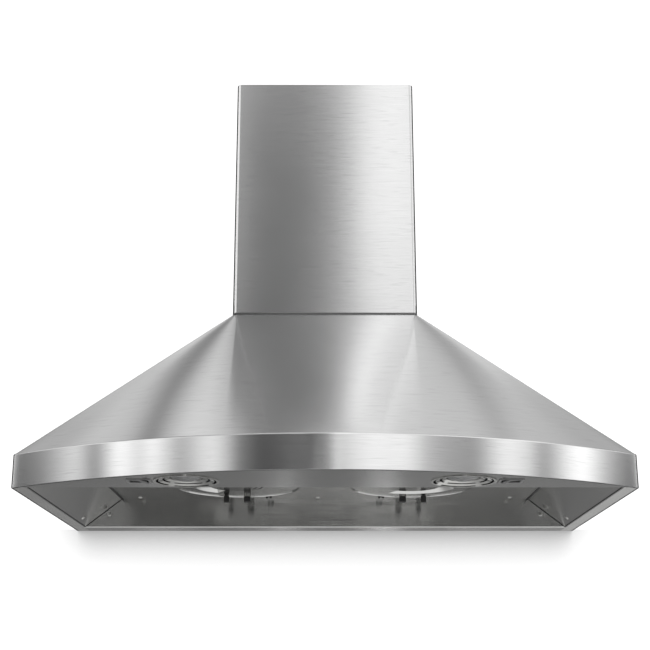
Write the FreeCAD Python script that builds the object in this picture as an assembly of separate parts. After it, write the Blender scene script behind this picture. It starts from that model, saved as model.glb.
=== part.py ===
import FreeCAD, Part
import math
import os

# Wall mount range hood: a bowed stainless canopy over a shallow capture recess,
# with two blowers above the recess plate and a flue cover that rises to the ceiling.
# X runs to the right, the wall is the plane Y = 0, the front is towards -Y, Z is up,
# and Z = 0 is the lowest edge of the hood.

os.makedirs("parts", exist_ok=True)

Vector = FreeCAD.Vector
X_AXIS = Vector(1, 0, 0)
Y_AXIS = Vector(0, 1, 0)
Z_AXIS = Vector(0, 0, 1)
SIDES = {"left": -1, "right": 1}
FULL_TURN = 360.0
HALF_TURN = 180.0
QUARTERS = 4

# Overall sizes
hood_width = 914.4
hood_depth = 609.6
bow_rise = 146.2
band_height = 50.8
canopy_rise = 287.6
chimney_width = 316.8
chimney_depth = 246.0
chimney_height = 434.6
sheet = 1.2
overrun = 5.0
match_margin = 0.12

# Form of the band and the canopy
band_corner_radius = 12.0
band_edge_radius = 2.4
band_ledge = 14.0
least_corner_radius = 1.0
canopy_step = 2.6
centre_crease_x = 132.0
chimney_corner_radius = 5.0
bend_radius = 1.9
edge_radius = 1.0

# Underside
panel_depth = 141.6
recess_back = 48.0
side_flange = 22.0
slope_run = 65.0
ceiling_side_gap = 3.0
ceiling_end_gap = 0.6
liner_lap = 21.0
end_lap = 34.0
lap_gap = 0.5
panel_gap = 0.5

# Blowers and their inlet covers
blower_x = 147.0
blower_y = -193.0
inlet_hole_radius = 81.0
cover_radius = 105.0
cover_gap = 0.3
rim_bead_radius = 1.6
groove_outer_radius = 76.0
groove_inner_radius = 47.0
groove_depth = 10.0
groove_flank = 8.0
groove_start = 122.0
groove_sweep = 176.0
slot_width = 2.8
slot_radii = (14.0, 23.0, 32.0, 41.0)
slot_count = 4
slot_sweep = 72.0
slot_shift = 8.0

skirt_radius = 83.0
skirt_height = 14.0
foot_radius = 97.0
scroll_height = 72.0
scroll_start_radius = 84.0
scroll_step = 6.0
scroll_throat = 62.0
outlet_width = 70.0
shaft_hole_radius = 14.0

impeller_radius = 74.0
impeller_eye = 61.0
impeller_height = 60.0
impeller_gap = 3.0
blade_count = 30
blade_thickness = 1.0
blade_pitch = 30.0
blade_root_gap = 1.5
hub_radius = 10.0
hub_height = 14.0

shaft_radius = 4.0
running_gap = 0.05
motor_radius = 45.0
motor_height = 58.0
motor_boss_radius = 16.0
motor_boss_height = 8.0
motor_rib_count = 12
motor_rib_depth = 1.5
motor_rib_width = 4.0
bearing_depth = 20.0
bracket_sheet = 2.0
bracket_ring_width = 9.0
bracket_arm_width = 14.0
bracket_arm_reach = 66.0
bracket_arms = 3

# Exhaust
plenum_half_width = 45.0
plenum_front_margin = 4.0
plenum_back = 52.0
duct_radius = 101.0
collar_height = 50.0
collar_flange = 6.0
stop_ledge = 5.0
stop_height = 18.0
rod_radius = 3.0
rod_height = 24.0
flap_edge_gap = 3.0
flap_sheet = 0.8
knuckle_wall = 1.3
knuckle_gap = 1.0
knuckle_length = 26.0
flap_rod_gap = 1.0

# Flue cover and its wall bracket
chimney_shadow_gap = 1.5
upstand_height = 15.0
chimney_lip = 18.0
lip_clearance = 0.3
bracket_height = 40.0
bracket_drop = 10.0
bracket_tab = 60.0
bracket_pad_width = 200.0
wall_screw_radius = 3.0
chimney_screw_radius = 2.0
chimney_screw_head_radius = 4.0
chimney_screw_head = 1.6
chimney_screw_length = 6.0
chimney_screw_y = -40.0

# Wall fixing
wall_hole_radius = 4.0
wall_hole_half_x = 200.0
wall_hole_low = 90.0
wall_hole_pitch = 150.0

# Wiring box
box_x = -262.0
box_width = 76.0
box_depth = 40.0
box_low = 62.0
box_tall = 60.0
box_lip = 8.0
gland_hole_radius = 11.0
gland_gap = 0.1
gland_bore_radius = 6.5
gland_flange_radius = 14.0
gland_flange = 3.0

# Lamps
lamp_x = 195.0
lamp_inset = 89.6
lamp_hole_radius = 44.5
lamp_lip_radius = 46.5
lamp_lip = 1.0
lamp_dish_radius = 44.0
lamp_eye_radius = 24.0
lamp_dish_rise = 5.0
lamp_neck = 4.0
lamp_slot_radii = (32.0, 41.0)
lamp_slot_width = 3.2
lamp_slot_count = 4
lamp_slot_sweep = 76.0
lamp_slot_shift = 7.0
lens_gap = 0.3
lens_bulge = 6.4
lens_thickness = 3.0
bulb_radius = 9.0
bulb_length = 20.0
bulb_gap = 0.3
lamp_can_radius = 47.0
lamp_can_height = 46.0
lamp_holder_radius = 14.0

# Switches
switch_x = 261.0
switch_inset = 87.6
bezel_width = 34.0
bezel_depth = 27.0
bezel_lip = 1.0
bezel_frame = 2.0
bezel_neck = 12.0
bezel_border = 1.4
rocker_end_gap = 1.1
rocker_side_gap = 0.4
rocker_half_throw = 8.0
rocker_proud = 0.2
rocker_dip = 0.6
rocker_top = 4.5
rocker_hub = 1.5
rocker_pin_radius = 1.5
rocker_pin_height = 4.0
rocker_pin_reach = 1.0
switch_body_height = 22.0

# Knobs, clips and screws of the inlet covers
knob_drop = 13.4
outer_knob_dx = 27.0
outer_knob_dy = 87.0
outer_knob_radius = 4.8
outer_knob_dome = 2.6
knob_tip_edge = 1.0
inner_knob_dx = -10.0
inner_knob_dy = 86.0
inner_knob_width = 11.6
inner_knob_edge = 1.6
knob_collar_radius = 6.2
knob_collar_height = 3.0
knob_shank_radius = 2.0
knob_shank_rise = 6.0
knob_seat_gap = 0.2
knob_hole_radius = 2.8
clip_x = 100.0
clip_y = -90.0
clip_width = 10.0
clip_depth = 5.0
clip_drop = 4.6
clip_arch_radius = 2.4
screw_head_radius = 3.8
screw_head = 1.5
screw_shank_radius = 1.9
screw_hole_radius = 2.0
screw_length = 8.0
screw_inset = 21.0
side_screw_inset = 34.0
middle_screw_x = -13.0
liner_screw_y = -110.0
liner_screw_z = 8.0
wall_screw_inset = 44.0
wall_screw_z = 24.0
liner_screw_length = 5.0

# Levels and plan lines that follow from the sizes above
canopy_top = band_height + canopy_rise
ceiling_low = band_height
ceiling_high = ceiling_low + sheet
lap_high = ceiling_high + sheet
bow_radius = ((hood_width / 2) ** 2 + bow_rise ** 2) / (2 * bow_rise)
bow_centre_y = bow_radius - hood_depth
slope_ratio = math.hypot(hood_depth - chimney_depth, canopy_rise) / canopy_rise
canopy_wall = sheet * slope_ratio
flange_inner_x = hood_width / 2 - sheet - side_flange
ceiling_half_width = flange_inner_x - slope_run - ceiling_side_gap
side_screw_x = ceiling_half_width - side_screw_inset
wall_screw_x = flange_inner_x - wall_screw_inset
recess_front = hood_depth - panel_depth
lamp_y = lamp_inset - hood_depth
switch_y = switch_inset - hood_depth
plate_high = canopy_top + sheet
chimney_low = plate_high + chimney_shadow_gap
chimney_high = chimney_low + chimney_height
skirt_high = ceiling_high + skirt_height
scroll_high = skirt_high + scroll_height
motor_low = scroll_high + bracket_sheet
duct_y = -chimney_depth / 2


def box(x0, x1, y0, y1, z0, z1):
    """Block between two corners."""
    return Part.makeBox(x1 - x0, y1 - y0, z1 - z0, Vector(x0, y0, z0))


def rod(x, y, z0, z1, radius):
    """Upright cylinder."""
    return Part.makeCylinder(radius, z1 - z0, Vector(x, y, z0), Z_AXIS)


def tube(x, y, z0, z1, outer, inner):
    """Upright tube."""
    return rod(x, y, z0, z1, outer).cut(rod(x, y, z0, z1, inner))


def bar_x(x0, x1, y, z, radius):
    """Cylinder along X."""
    return Part.makeCylinder(radius, x1 - x0, Vector(x0, y, z), X_AXIS)


def bar_y(x, y0, y1, z, radius):
    """Cylinder along Y."""
    return Part.makeCylinder(radius, y1 - y0, Vector(x, y0, z), Y_AXIS)


def line(a, b):
    return Part.LineSegment(a, b).toShape()


def arc(centre, radius, start, end):
    """Plan arc about a centre, between two angles in radians from +X."""
    middle = (start + end) / 2
    points = [
        Vector(centre.x + radius * math.cos(angle), centre.y + radius * math.sin(angle), centre.z)
        for angle in (start, middle, end)
    ]
    return Part.Arc(*points).toShape()


def prism(edges, rise):
    """Plan outline raised by a height."""
    return Part.Face(Part.Wire(edges)).extrude(Vector(0, 0, rise))


def polygon_prism(points, direction):
    """Flat polygon drawn out along a direction."""
    return Part.Face(Part.makePolygon(points + points[:1])).extrude(direction)


def revolved(points, centre, sweep=FULL_TURN):
    """Solid turned about the upright axis through a centre, from (radius, height) points."""
    corners = [Vector(centre.x + r, centre.y, centre.z + z) for r, z in points]
    face = Part.Face(Part.makePolygon(corners + corners[:1]))
    return face.revolve(centre, Z_AXIS, sweep)


def turned(shape, centre, angle):
    """Copy turned about an upright axis, in degrees."""
    copy = shape.copy()
    copy.rotate(centre, Z_AXIS, angle)
    return copy


def mirrored(shape, side):
    """Right-hand shape for side 1, its mirror image for side -1."""
    if side > 0:
        return shape
    return shape.mirror(Vector(0, 0, 0), X_AXIS)


def mirrored_edges(edges):
    """Edges of the right half, followed by their mirror images in running order."""
    return [edge.mirror(Vector(0, 0, 0), X_AXIS) for edge in reversed(edges)]


def ruled_solid(lower, upper):
    """Closed solid whose sides join each lower edge to its upper edge in straight lines."""
    faces = [Part.makeRuledSurface(a, b) for a, b in zip(lower, upper)]
    faces.append(Part.Face(Part.Wire(lower)))
    faces.append(Part.Face(Part.Wire(upper)))
    shell = Part.makeShell(faces)
    shell.sewShape()
    solid = Part.makeSolid(shell)
    if solid.Volume < 0:
        solid.reverse()
    return solid


def save(name, shape):
    """Write one sub-part and print what it holds."""
    solids = shape.Solids
    whole = solids[0] if len(solids) == 1 else Part.makeCompound(solids)
    whole.exportStep("parts/" + name + ".step")
    print(name, len(solids), "valid" if whole.isValid() else "INVALID", round(whole.Volume))


def band_edges(inset, z):
    """Right half of the band's plan: side, corner, outer bow, then the half of the middle bow."""
    side_x = hood_width / 2 - inset
    radius = bow_radius - inset
    corner = max(band_corner_radius - inset, least_corner_radius)
    centre_x = side_x - corner
    centre_y = bow_centre_y - math.sqrt((radius - corner) ** 2 - centre_x ** 2)
    bow = Vector(0, bow_centre_y, z)
    turn = math.atan2(centre_y - bow_centre_y, centre_x)
    crease = -math.acos(centre_crease_x / bow_radius)
    return [
        line(Vector(side_x, 0, z), Vector(side_x, centre_y, z)),
        arc(Vector(centre_x, centre_y, z), corner, 0, turn),
        arc(bow, radius, turn, crease),
        arc(bow, radius, crease, -math.pi / 2),
    ], turn


def closed_outline(half):
    """Whole outline from its right half, closed by the line along the wall."""
    edges = half + mirrored_edges(half)
    first = half[0].Vertexes[0].Point
    return edges + [line(Vector(-first.x, first.y, first.z), first)]


def band_outline(inset, z):
    return closed_outline(band_edges(inset, z)[0])


def chimney_edges(inset, z, turn):
    """Right half of the flue's plan: side, the corner in two parts, then half the front."""
    side_x = chimney_width / 2 - inset
    front_y = -chimney_depth + inset
    corner = max(chimney_corner_radius - inset, least_corner_radius)
    centre = Vector(side_x - corner, front_y + corner, z)
    return [
        line(Vector(side_x, 0, z), Vector(side_x, centre.y, z)),
        arc(centre, corner, 0, turn),
        arc(centre, corner, turn, -math.pi / 2),
        line(Vector(centre.x, front_y, z), Vector(0, front_y, z)),
    ]


def chimney_outline(inset, z):
    return closed_outline(chimney_edges(inset, z, -math.pi / QUARTERS))


def canopy_solid(inset):
    """Filled canopy between the band's ledge and the flue, drawn in by inset."""
    half, turn = band_edges(canopy_step + inset, band_height)
    lower = closed_outline(half)
    upper = closed_outline(chimney_edges(inset, canopy_top, turn))
    return ruled_solid(lower, upper)


def canopy_shell():
    """Sloped stainless skin, open at its foot, its top and the wall."""
    return canopy_solid(0).cut(canopy_solid(canopy_wall))


def back_panel():
    """Sheet against the wall, inside the canopy and the band, with holes for wall screws and wiring."""
    half = hood_width / 2 - sheet
    foot = hood_width / 2 - canopy_step - canopy_wall
    head = chimney_width / 2 - canopy_wall
    right = [(half, 0), (half, band_height), (foot, band_height), (head, canopy_top)]
    left = [(-x, z) for x, z in reversed(right)]
    points = [Vector(x, -sheet, z) for x, z in right + left]
    panel = polygon_prism(points, Vector(0, sheet, 0))
    for x in (-wall_hole_half_x, wall_hole_half_x):
        for z in (wall_hole_low, wall_hole_low + wall_hole_pitch):
            panel = panel.cut(bar_y(x, -sheet - overrun, overrun, z, wall_hole_radius))
    gland_x, gland_z = gland_place()
    return panel.cut(bar_y(gland_x, -sheet - overrun, overrun, gland_z, gland_hole_radius))


def edges_on_line(shape, across, place):
    """Lowest edges that lie wholly at one place along a plan axis and run along a full bend."""
    found = []
    for edge in shape.Edges:
        ends = [vertex.Point for vertex in edge.Vertexes]
        near = all(abs(end.dot(across) - place) < match_margin for end in ends)
        low = all(abs(end.z) < match_margin for end in ends)
        if near and low and edge.Length > 2 * recess_back:
            found.append(edge)
    return found


def edges_at_height(shape, z):
    """Edges that lie wholly at one height."""
    return [
        edge
        for edge in shape.Edges
        if abs(edge.BoundBox.ZMin - z) < match_margin and abs(edge.BoundBox.ZMax - z) < match_margin
    ]


def outer_edges_at(shape, z, front_limit):
    """Edges that lie wholly at height z and reach in front of a plan line."""
    return [
        edge
        for edge in shape.Edges
        if abs(edge.BoundBox.ZMin - z) < sheet / 2
        and abs(edge.BoundBox.ZMax - z) < sheet / 2
        and edge.BoundBox.YMin < front_limit
    ]


def apron_band(panel):
    """Upright band with a rolled upper edge and a ledge that carries the canopy."""
    outer = prism(band_outline(0, 0), band_height)
    outer = outer.makeFillet(band_edge_radius, outer_edges_at(outer, band_height, -sheet))
    inner_high = band_height - sheet
    inner = prism(band_outline(sheet, 0), inner_high)
    inner = inner.makeFillet(band_edge_radius - sheet, outer_edges_at(inner, inner_high, -sheet))
    opening = prism(band_outline(band_ledge, 0), band_height)
    return outer.cut(inner).cut(opening).cut(panel)


def screw_places():
    """Plan places of the screws that hold the recess plate to its front and rear laps."""
    rear_y = -recess_back - screw_inset
    front_y = -recess_front + screw_inset
    across = (-side_screw_x, middle_screw_x, side_screw_x)
    return [(x, y) for y in (rear_y, front_y) for x in across]


def cut_screw_holes(shape, z0, z1):
    for x, y in screw_places():
        shape = shape.cut(rod(x, y, z0 - overrun, z1 + overrun, screw_hole_radius))
    return shape


def lamp_panel():
    """Bowed underside panel with its upright rear wall and the lap over the recess plate."""
    panel = prism(band_outline(sheet + panel_gap, 0), sheet)
    panel = panel.common(box(-hood_width, hood_width, -hood_depth - overrun, -recess_front, 0, sheet))
    foot_x = flange_inner_x
    head_x = slope_x(ceiling_high) + slope_wall()
    corners = [(-foot_x, 0), (foot_x, 0), (head_x, ceiling_high), (-head_x, ceiling_high)]
    points = [Vector(x, -recess_front - sheet, z) for x, z in corners]
    wall = polygon_prism(points, Vector(0, sheet, 0))
    half = lap_half_width()
    lap_y = -recess_front + end_lap
    lap = box(-half, half, -recess_front - sheet, lap_y, ceiling_high, lap_high)
    panel = panel.fuse([wall, lap]).removeSplitter()
    panel = panel.makeFillet(edge_radius, edges_on_line(panel, Y_AXIS, -recess_front))
    for side in SIDES.values():
        lamp_hole = rod(side * lamp_x, lamp_y, -overrun, sheet + overrun, lamp_hole_radius)
        panel = panel.cut(lamp_hole).cut(switch_hole(side))
    return cut_screw_holes(panel, ceiling_high, lap_high)


def lap_half_width():
    return slope_x(ceiling_high) - liner_lap - lap_gap


def slope_x(z):
    """Distance from the centre line to the visible face of the sloped side wall at height z."""
    return flange_inner_x - slope_run * z / band_height


def slope_wall():
    """Thickness of the sloped side wall measured along X."""
    return sheet * math.hypot(slope_run, band_height) / band_height


def side_liner():
    """Bottom flange, sloped recess wall and lap over the recess plate, for the right side."""
    band_x = hood_width / 2 - sheet
    thick = slope_wall()
    lap_x = slope_x(ceiling_high) - liner_lap
    corners = [
        (band_x, 0),
        (flange_inner_x, 0),
        (slope_x(ceiling_high), ceiling_high),
        (lap_x, ceiling_high),
        (lap_x, lap_high),
        (slope_x(lap_high) + thick, lap_high),
        (slope_x(sheet) + thick, sheet),
        (band_x, sheet),
    ]
    points = [Vector(x, -recess_front, z) for x, z in corners]
    liner = polygon_prism(points, Vector(0, recess_front - recess_back, 0))
    liner = liner.makeFillet(edge_radius, edges_on_line(liner, X_AXIS, flange_inner_x))
    liner = liner.fuse(box(flange_inner_x, band_x, -recess_back, -sheet, 0, sheet))
    liner = liner.common(prism(band_outline(sheet, 0), lap_high))
    return liner.cut(slope_screw_axis(screw_hole_radius, liner_screw_length + overrun, overrun))


def slope_normal():
    """Direction square to the sloped wall, out of the recess."""
    return Vector(band_height, 0, slope_run).normalize()


def slope_screw_axis(radius, inward, outward):
    """Cylinder through the sloped wall at the screw, from the recess side to the back."""
    place = Vector(slope_x(liner_screw_z), liner_screw_y, liner_screw_z)
    normal = slope_normal()
    start = place - normal * outward
    return Part.makeCylinder(radius, inward + outward, start, normal)


def back_liner():
    """Bottom flange at the wall, upright rear wall of the recess, and its lap."""
    flange = box(-flange_inner_x, flange_inner_x, -recess_back, -sheet, 0, sheet)
    wall = box(-flange_inner_x, flange_inner_x, -recess_back, -recess_back + sheet, 0, lap_high)
    half = lap_half_width()
    lap = box(-half, half, -recess_back - end_lap, -recess_back, ceiling_high, lap_high)
    liner = flange.fuse([wall, lap]).removeSplitter()
    liner = liner.makeFillet(bend_radius, edges_on_line(liner, Y_AXIS, -recess_back))
    for side in SIDES.values():
        y0 = -recess_back - overrun
        y1 = -recess_back + overrun
        liner = liner.cut(bar_y(side * wall_screw_x, y0, y1, wall_screw_z, screw_hole_radius))
    return cut_screw_holes(liner, ceiling_high, lap_high)


def knob_places(side):
    """Plan places of the outer and inner knob of one inlet cover."""
    return [
        (side * (blower_x + outer_knob_dx), blower_y + outer_knob_dy),
        (side * (blower_x + inner_knob_dx), blower_y + inner_knob_dy),
    ]


def ceiling_panel():
    """Flat plate over the recess with the two blower inlets."""
    half = ceiling_half_width
    front = -recess_front + ceiling_end_gap
    back = -recess_back - ceiling_end_gap
    plate = box(-half, half, front, back, ceiling_low, ceiling_high)
    for side in SIDES.values():
        low = ceiling_low - overrun
        high = ceiling_high + overrun
        plate = plate.cut(rod(side * blower_x, blower_y, low, high, inlet_hole_radius))
        for x, y in knob_places(side):
            plate = plate.cut(rod(x, y, low, high, knob_hole_radius))
    return cut_screw_holes(plate, ceiling_low, ceiling_high)


def arc_slots(centre, radii, width, count, sweep, shift, z0, z1):
    """Concentric rows of curved slots, as cutting blocks."""
    blocks = []
    for row, radius in enumerate(radii):
        inner = radius - width / 2
        outer = radius + width / 2
        for place in range(count):
            base = Vector(centre.x, centre.y, centre.z)
            block = revolved([(inner, z0), (outer, z0), (outer, z1), (inner, z1)], base, sweep)
            start = place * FULL_TURN / count + row * shift - sweep / 2
            blocks.append(turned(block, base, start))
    return blocks


def inlet_cover(side):
    """Pressed round cover with a beaded rim, a raised inlet groove and rows of curved slots."""
    high = ceiling_low - cover_gap
    low = high - sheet
    centre = Vector(side * blower_x, blower_y, 0)
    disc = rod(centre.x, centre.y, low, high, cover_radius)
    bead_centre = Vector(centre.x, centre.y, low)
    bead = Part.makeTorus(cover_radius - rim_bead_radius, rim_bead_radius, bead_centre)
    disc = disc.fuse(bead.cut(rod(centre.x, centre.y, high, high + overrun, cover_radius + overrun)))
    flank = groove_flank
    top = high + groove_depth
    outside = [
        (groove_inner_radius - sheet, high),
        (groove_outer_radius + sheet, high),
        (groove_outer_radius + sheet - flank, top),
        (groove_inner_radius - sheet + flank, top),
    ]
    inside = [
        (groove_inner_radius, low),
        (groove_outer_radius, low),
        (groove_outer_radius - flank, top - sheet),
        (groove_inner_radius + flank, top - sheet),
    ]
    end_wall = math.degrees(sheet / groove_inner_radius)
    raised = revolved(outside, centre, groove_sweep + 2 * end_wall)
    hollow = revolved(inside, centre, groove_sweep)
    start = groove_start if side < 0 else groove_start + HALF_TURN
    cover = disc.fuse(turned(raised, centre, start - end_wall)).cut(turned(hollow, centre, start))
    slots = arc_slots(
        centre, slot_radii, slot_width, slot_count, slot_sweep, slot_shift, low - overrun, high + sheet / 2
    )
    cover = cover.cut(slots)
    for x, y in knob_places(side):
        cover = cover.cut(rod(x, y, low - overrun, high + overrun, knob_shank_radius + running_gap))
    return cover


def latch_knob(side, kind):
    """Black knob with a shank that passes through the cover and the recess plate."""
    x, y = knob_places(side)[kind]
    seat = ceiling_low - cover_gap - sheet - knob_seat_gap
    bottom = seat - knob_drop
    if kind == 0:
        body = rod(x, y, bottom, seat, outer_knob_radius)
        body = body.makeFillet(outer_knob_dome, edges_at_height(body, seat))
        body = body.makeFillet(knob_tip_edge, edges_at_height(body, bottom))
    else:
        seat = seat - knob_collar_height - knob_seat_gap
        half = inner_knob_width / 2
        body = box(x - half, x + half, y - half, y + half, bottom, seat)
        body = body.makeFillet(inner_knob_edge, body.Edges)
    shank = rod(x, y, seat - overrun, lap_high + knob_shank_rise, knob_shank_radius)
    return body.fuse(shank).removeSplitter()


def knob_collar(side):
    """Grey spacer ring over the inner knob, on the cover."""
    x, y = knob_places(side)[1]
    high = ceiling_low - cover_gap - sheet
    return tube(x, y, high - knob_collar_height, high, knob_collar_radius, knob_shank_radius + running_gap)


def rim_clips():
    """Small black arched clips beside the rims of the two covers."""
    clips = []
    for side in SIDES.values():
        x = side * clip_x
        half = clip_width / 2
        low = ceiling_low - clip_drop
        back = clip_y + clip_depth
        clip = box(x - half, x + half, clip_y, back, low, ceiling_low)
        clips.append(clip.cut(bar_y(x, clip_y - overrun, back + overrun, low, clip_arch_radius)))
    return Part.makeCompound(clips)


def screw(place, direction, head_radius, head, shank_radius, length):
    """Low domed screw: place is under its head, direction runs along its shank."""
    centre = place - direction * head
    body = Part.makeCylinder(head_radius, head, centre, direction)
    rims = [edge for edge in body.Edges if (edge.CenterOfMass - centre).Length < match_margin]
    body = body.makeChamfer(head / 2, rims)
    return body.fuse(Part.makeCylinder(shank_radius, length, place, direction)).removeSplitter()


def ceiling_screws():
    """Screws up through the recess plate into its laps."""
    shapes = []
    for x, y in screw_places():
        place = Vector(x, y, ceiling_low)
        shapes.append(screw(place, Z_AXIS, screw_head_radius, screw_head, screw_shank_radius, screw_length))
    return Part.makeCompound(shapes)


def liner_screws():
    """Screws in the sloped side walls and in the rear wall of the recess."""
    place = Vector(slope_x(liner_screw_z), liner_screw_y, liner_screw_z)
    slope = screw(
        place, slope_normal(), screw_head_radius, screw_head, screw_shank_radius, liner_screw_length
    )
    wall_place = Vector(wall_screw_x, -recess_back, wall_screw_z)
    rear = screw(wall_place, Y_AXIS, screw_head_radius, screw_head, screw_shank_radius, liner_screw_length)
    shapes = [mirrored(shape, side) for side in SIDES.values() for shape in (slope, rear)]
    return Part.makeCompound(shapes)


def volute_edges(grow, z):
    """Plan of the right-hand scroll, three widening quarter turns and its outlet towards the middle."""
    step = scroll_step
    x_out = plenum_half_width
    c1 = Vector(blower_x, blower_y, z)
    c2 = c1 + Vector(0, step, 0)
    c3 = c2 - Vector(step, 0, 0)
    r1 = scroll_start_radius + grow
    r2 = r1 + step
    r3 = r2 + step
    top_y = c3.y + r3
    tongue_y = top_y - grow - outlet_width - grow
    left_x = c1.x - r1
    quarter = math.pi / 2
    return [
        arc(c1, r1, -2 * quarter, -quarter),
        arc(c2, r2, -quarter, 0),
        arc(c3, r3, 0, quarter),
        line(Vector(c3.x, top_y, z), Vector(x_out, top_y, z)),
        line(Vector(x_out, top_y, z), Vector(x_out, tongue_y, z)),
        line(Vector(x_out, tongue_y, z), Vector(left_x, tongue_y, z)),
        line(Vector(left_x, tongue_y, z), Vector(left_x, c1.y, z)),
    ]


def blower_scroll(side):
    """Scroll casing on a round skirt that stands on the recess plate."""
    x, y = blower_x, blower_y
    outer = prism(volute_edges(sheet, skirt_high), scroll_height)
    inner = prism(volute_edges(0, skirt_high + sheet), scroll_height - 2 * sheet)
    casing = outer.cut(inner)
    throat = rod(x, y, skirt_high - overrun, skirt_high + sheet + overrun, scroll_throat)
    casing = casing.cut(throat)
    casing = casing.cut(rod(x, y, scroll_high - sheet - overrun, scroll_high + overrun, shaft_hole_radius))
    skirt = tube(x, y, ceiling_high, skirt_high, skirt_radius + sheet, skirt_radius)
    foot = tube(x, y, ceiling_high, ceiling_high + sheet, foot_radius, skirt_radius)
    casing = casing.fuse([skirt, foot]).removeSplitter()
    for knob_x, knob_y in knob_places(1):
        hole = rod(knob_x, knob_y, ceiling_high - overrun, ceiling_high + overrun, knob_hole_radius)
        casing = casing.cut(hole)
    for angle in range(bracket_arms):
        hole = bracket_hole(angle, scroll_high - sheet - overrun, scroll_high + overrun)
        casing = casing.cut(hole)
    return mirrored(casing, side)


def bracket_hole(index, z0, z1):
    """Screw hole at the end of one arm of the right-hand motor bracket."""
    angle = math.radians(index * FULL_TURN / bracket_arms)
    reach = bracket_arm_reach - bracket_arm_width / 2
    x = blower_x + reach * math.cos(angle)
    y = blower_y + reach * math.sin(angle)
    return rod(x, y, z0, z1, screw_hole_radius)


def motor_bracket(side):
    """Flat ring with three arms, screwed to the top of the scroll."""
    centre = Vector(blower_x, blower_y, 0)
    inner = motor_boss_radius + bracket_sheet
    plate = rod(centre.x, centre.y, scroll_high, motor_low, motor_radius + bracket_ring_width)
    half = bracket_arm_width / 2
    for index in range(bracket_arms):
        arm = box(
            centre.x, centre.x + bracket_arm_reach, centre.y - half, centre.y + half, scroll_high, motor_low
        )
        plate = plate.fuse(turned(arm, centre, index * FULL_TURN / bracket_arms))
    plate = plate.cut(rod(centre.x, centre.y, scroll_high - overrun, motor_low + overrun, inner))
    for index in range(bracket_arms):
        plate = plate.cut(bracket_hole(index, scroll_high - overrun, motor_low + overrun))
    return mirrored(plate.removeSplitter(), side)


def motor_screws():
    """Screws at the ends of the motor brackets' arms."""
    shapes = []
    for side in SIDES.values():
        for index in range(bracket_arms):
            centre = bracket_hole(index, motor_low, motor_low + overrun).CenterOfMass
            place = Vector(centre.x, centre.y, motor_low)
            down = Z_AXIS.negative()
            body = screw(place, down, screw_head_radius, screw_head, screw_shank_radius, liner_screw_length)
            shapes.append(mirrored(body, side))
    return Part.makeCompound(shapes)


def blower_motor(side):
    """Ribbed motor can with a bearing bore for its shaft."""
    x, y = blower_x, blower_y
    high = motor_low + motor_height
    can = rod(x, y, motor_low, high, motor_radius)
    can = can.makeFillet(motor_boss_height / 2, edges_at_height(can, high))
    boss = rod(x, y, motor_low - motor_boss_height, motor_low, motor_boss_radius - bracket_sheet - sheet)
    can = can.fuse(boss)
    centre = Vector(x, y, 0)
    half = motor_rib_width / 2
    for index in range(motor_rib_count):
        slot = box(
            x + motor_radius - motor_rib_depth,
            x + motor_radius + overrun,
            y - half,
            y + half,
            motor_low + motor_boss_height,
            high - motor_boss_height,
        )
        can = can.cut(turned(slot, centre, index * FULL_TURN / motor_rib_count))
    bore_low = motor_low - motor_boss_height - overrun
    bore = rod(x, y, bore_low, motor_low + bearing_depth, shaft_radius + running_gap)
    return mirrored(can.cut(bore).removeSplitter(), side)


def impeller_levels():
    low = skirt_high + sheet + impeller_gap
    return low, low + impeller_height


def motor_shaft(side):
    """Shaft from the motor's bearing down through the impeller's hub."""
    low = impeller_levels()[1] - hub_height - sheet
    high = motor_low + bearing_depth - running_gap
    return mirrored(rod(blower_x, blower_y, low, high, shaft_radius), side)


def impeller_plate(side):
    """Back plate of the impeller with the hub that holds the shaft."""
    x, y = blower_x, blower_y
    high = impeller_levels()[1]
    hub_low = high - hub_height
    plate = rod(x, y, high - sheet, high, impeller_radius).fuse(rod(x, y, hub_low, high, hub_radius))
    bore = rod(x, y, hub_low - overrun, high + overrun, shaft_radius)
    return mirrored(plate.removeSplitter().cut(bore), side)


def impeller_ring(side):
    """Flat ring at the mouth of the impeller."""
    low = impeller_levels()[0]
    return mirrored(tube(blower_x, blower_y, low, low + sheet, impeller_radius, impeller_eye), side)


def impeller_blades(side):
    """Forward-curved cage of blades between the ring and the back plate."""
    low, high = impeller_levels()
    centre = Vector(blower_x, blower_y, 0)
    inner = impeller_eye + blade_root_gap
    outer = impeller_radius - blade_root_gap
    half = blade_thickness / 2
    middle = centre + Vector((inner + outer) / 2, 0, 0)
    blade = box(
        centre.x + inner, centre.x + outer, centre.y - half, centre.y + half, low + sheet, high - sheet
    )
    blade = turned(blade, middle, blade_pitch)
    blades = [turned(blade, centre, index * FULL_TURN / blade_count) for index in range(blade_count)]
    return mirrored(Part.makeCompound(blades), side)


def outlet_span():
    """Inside limits in Y of a scroll's outlet."""
    back = blower_y + scroll_start_radius + (QUARTERS - 1) * scroll_step
    return back - outlet_width, back


def rectangle_edges(half_x, y0, y1, z):
    """Rectangle started at the middle of its right side, in running order with a circle's quarters."""
    corners = [
        Vector(half_x, y0, z),
        Vector(half_x, y1, z),
        Vector(-half_x, y1, z),
        Vector(-half_x, y0, z),
    ]
    return [line(a, b) for a, b in zip(corners, corners[1:] + corners[:1])]


def circle_quarters(centre, radius):
    """Circle in four arcs, each facing one side of a rectangle."""
    quarter = math.pi / 2
    start = -quarter / 2
    return [arc(centre, radius, start + i * quarter, start + (i + 1) * quarter) for i in range(QUARTERS)]


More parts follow.
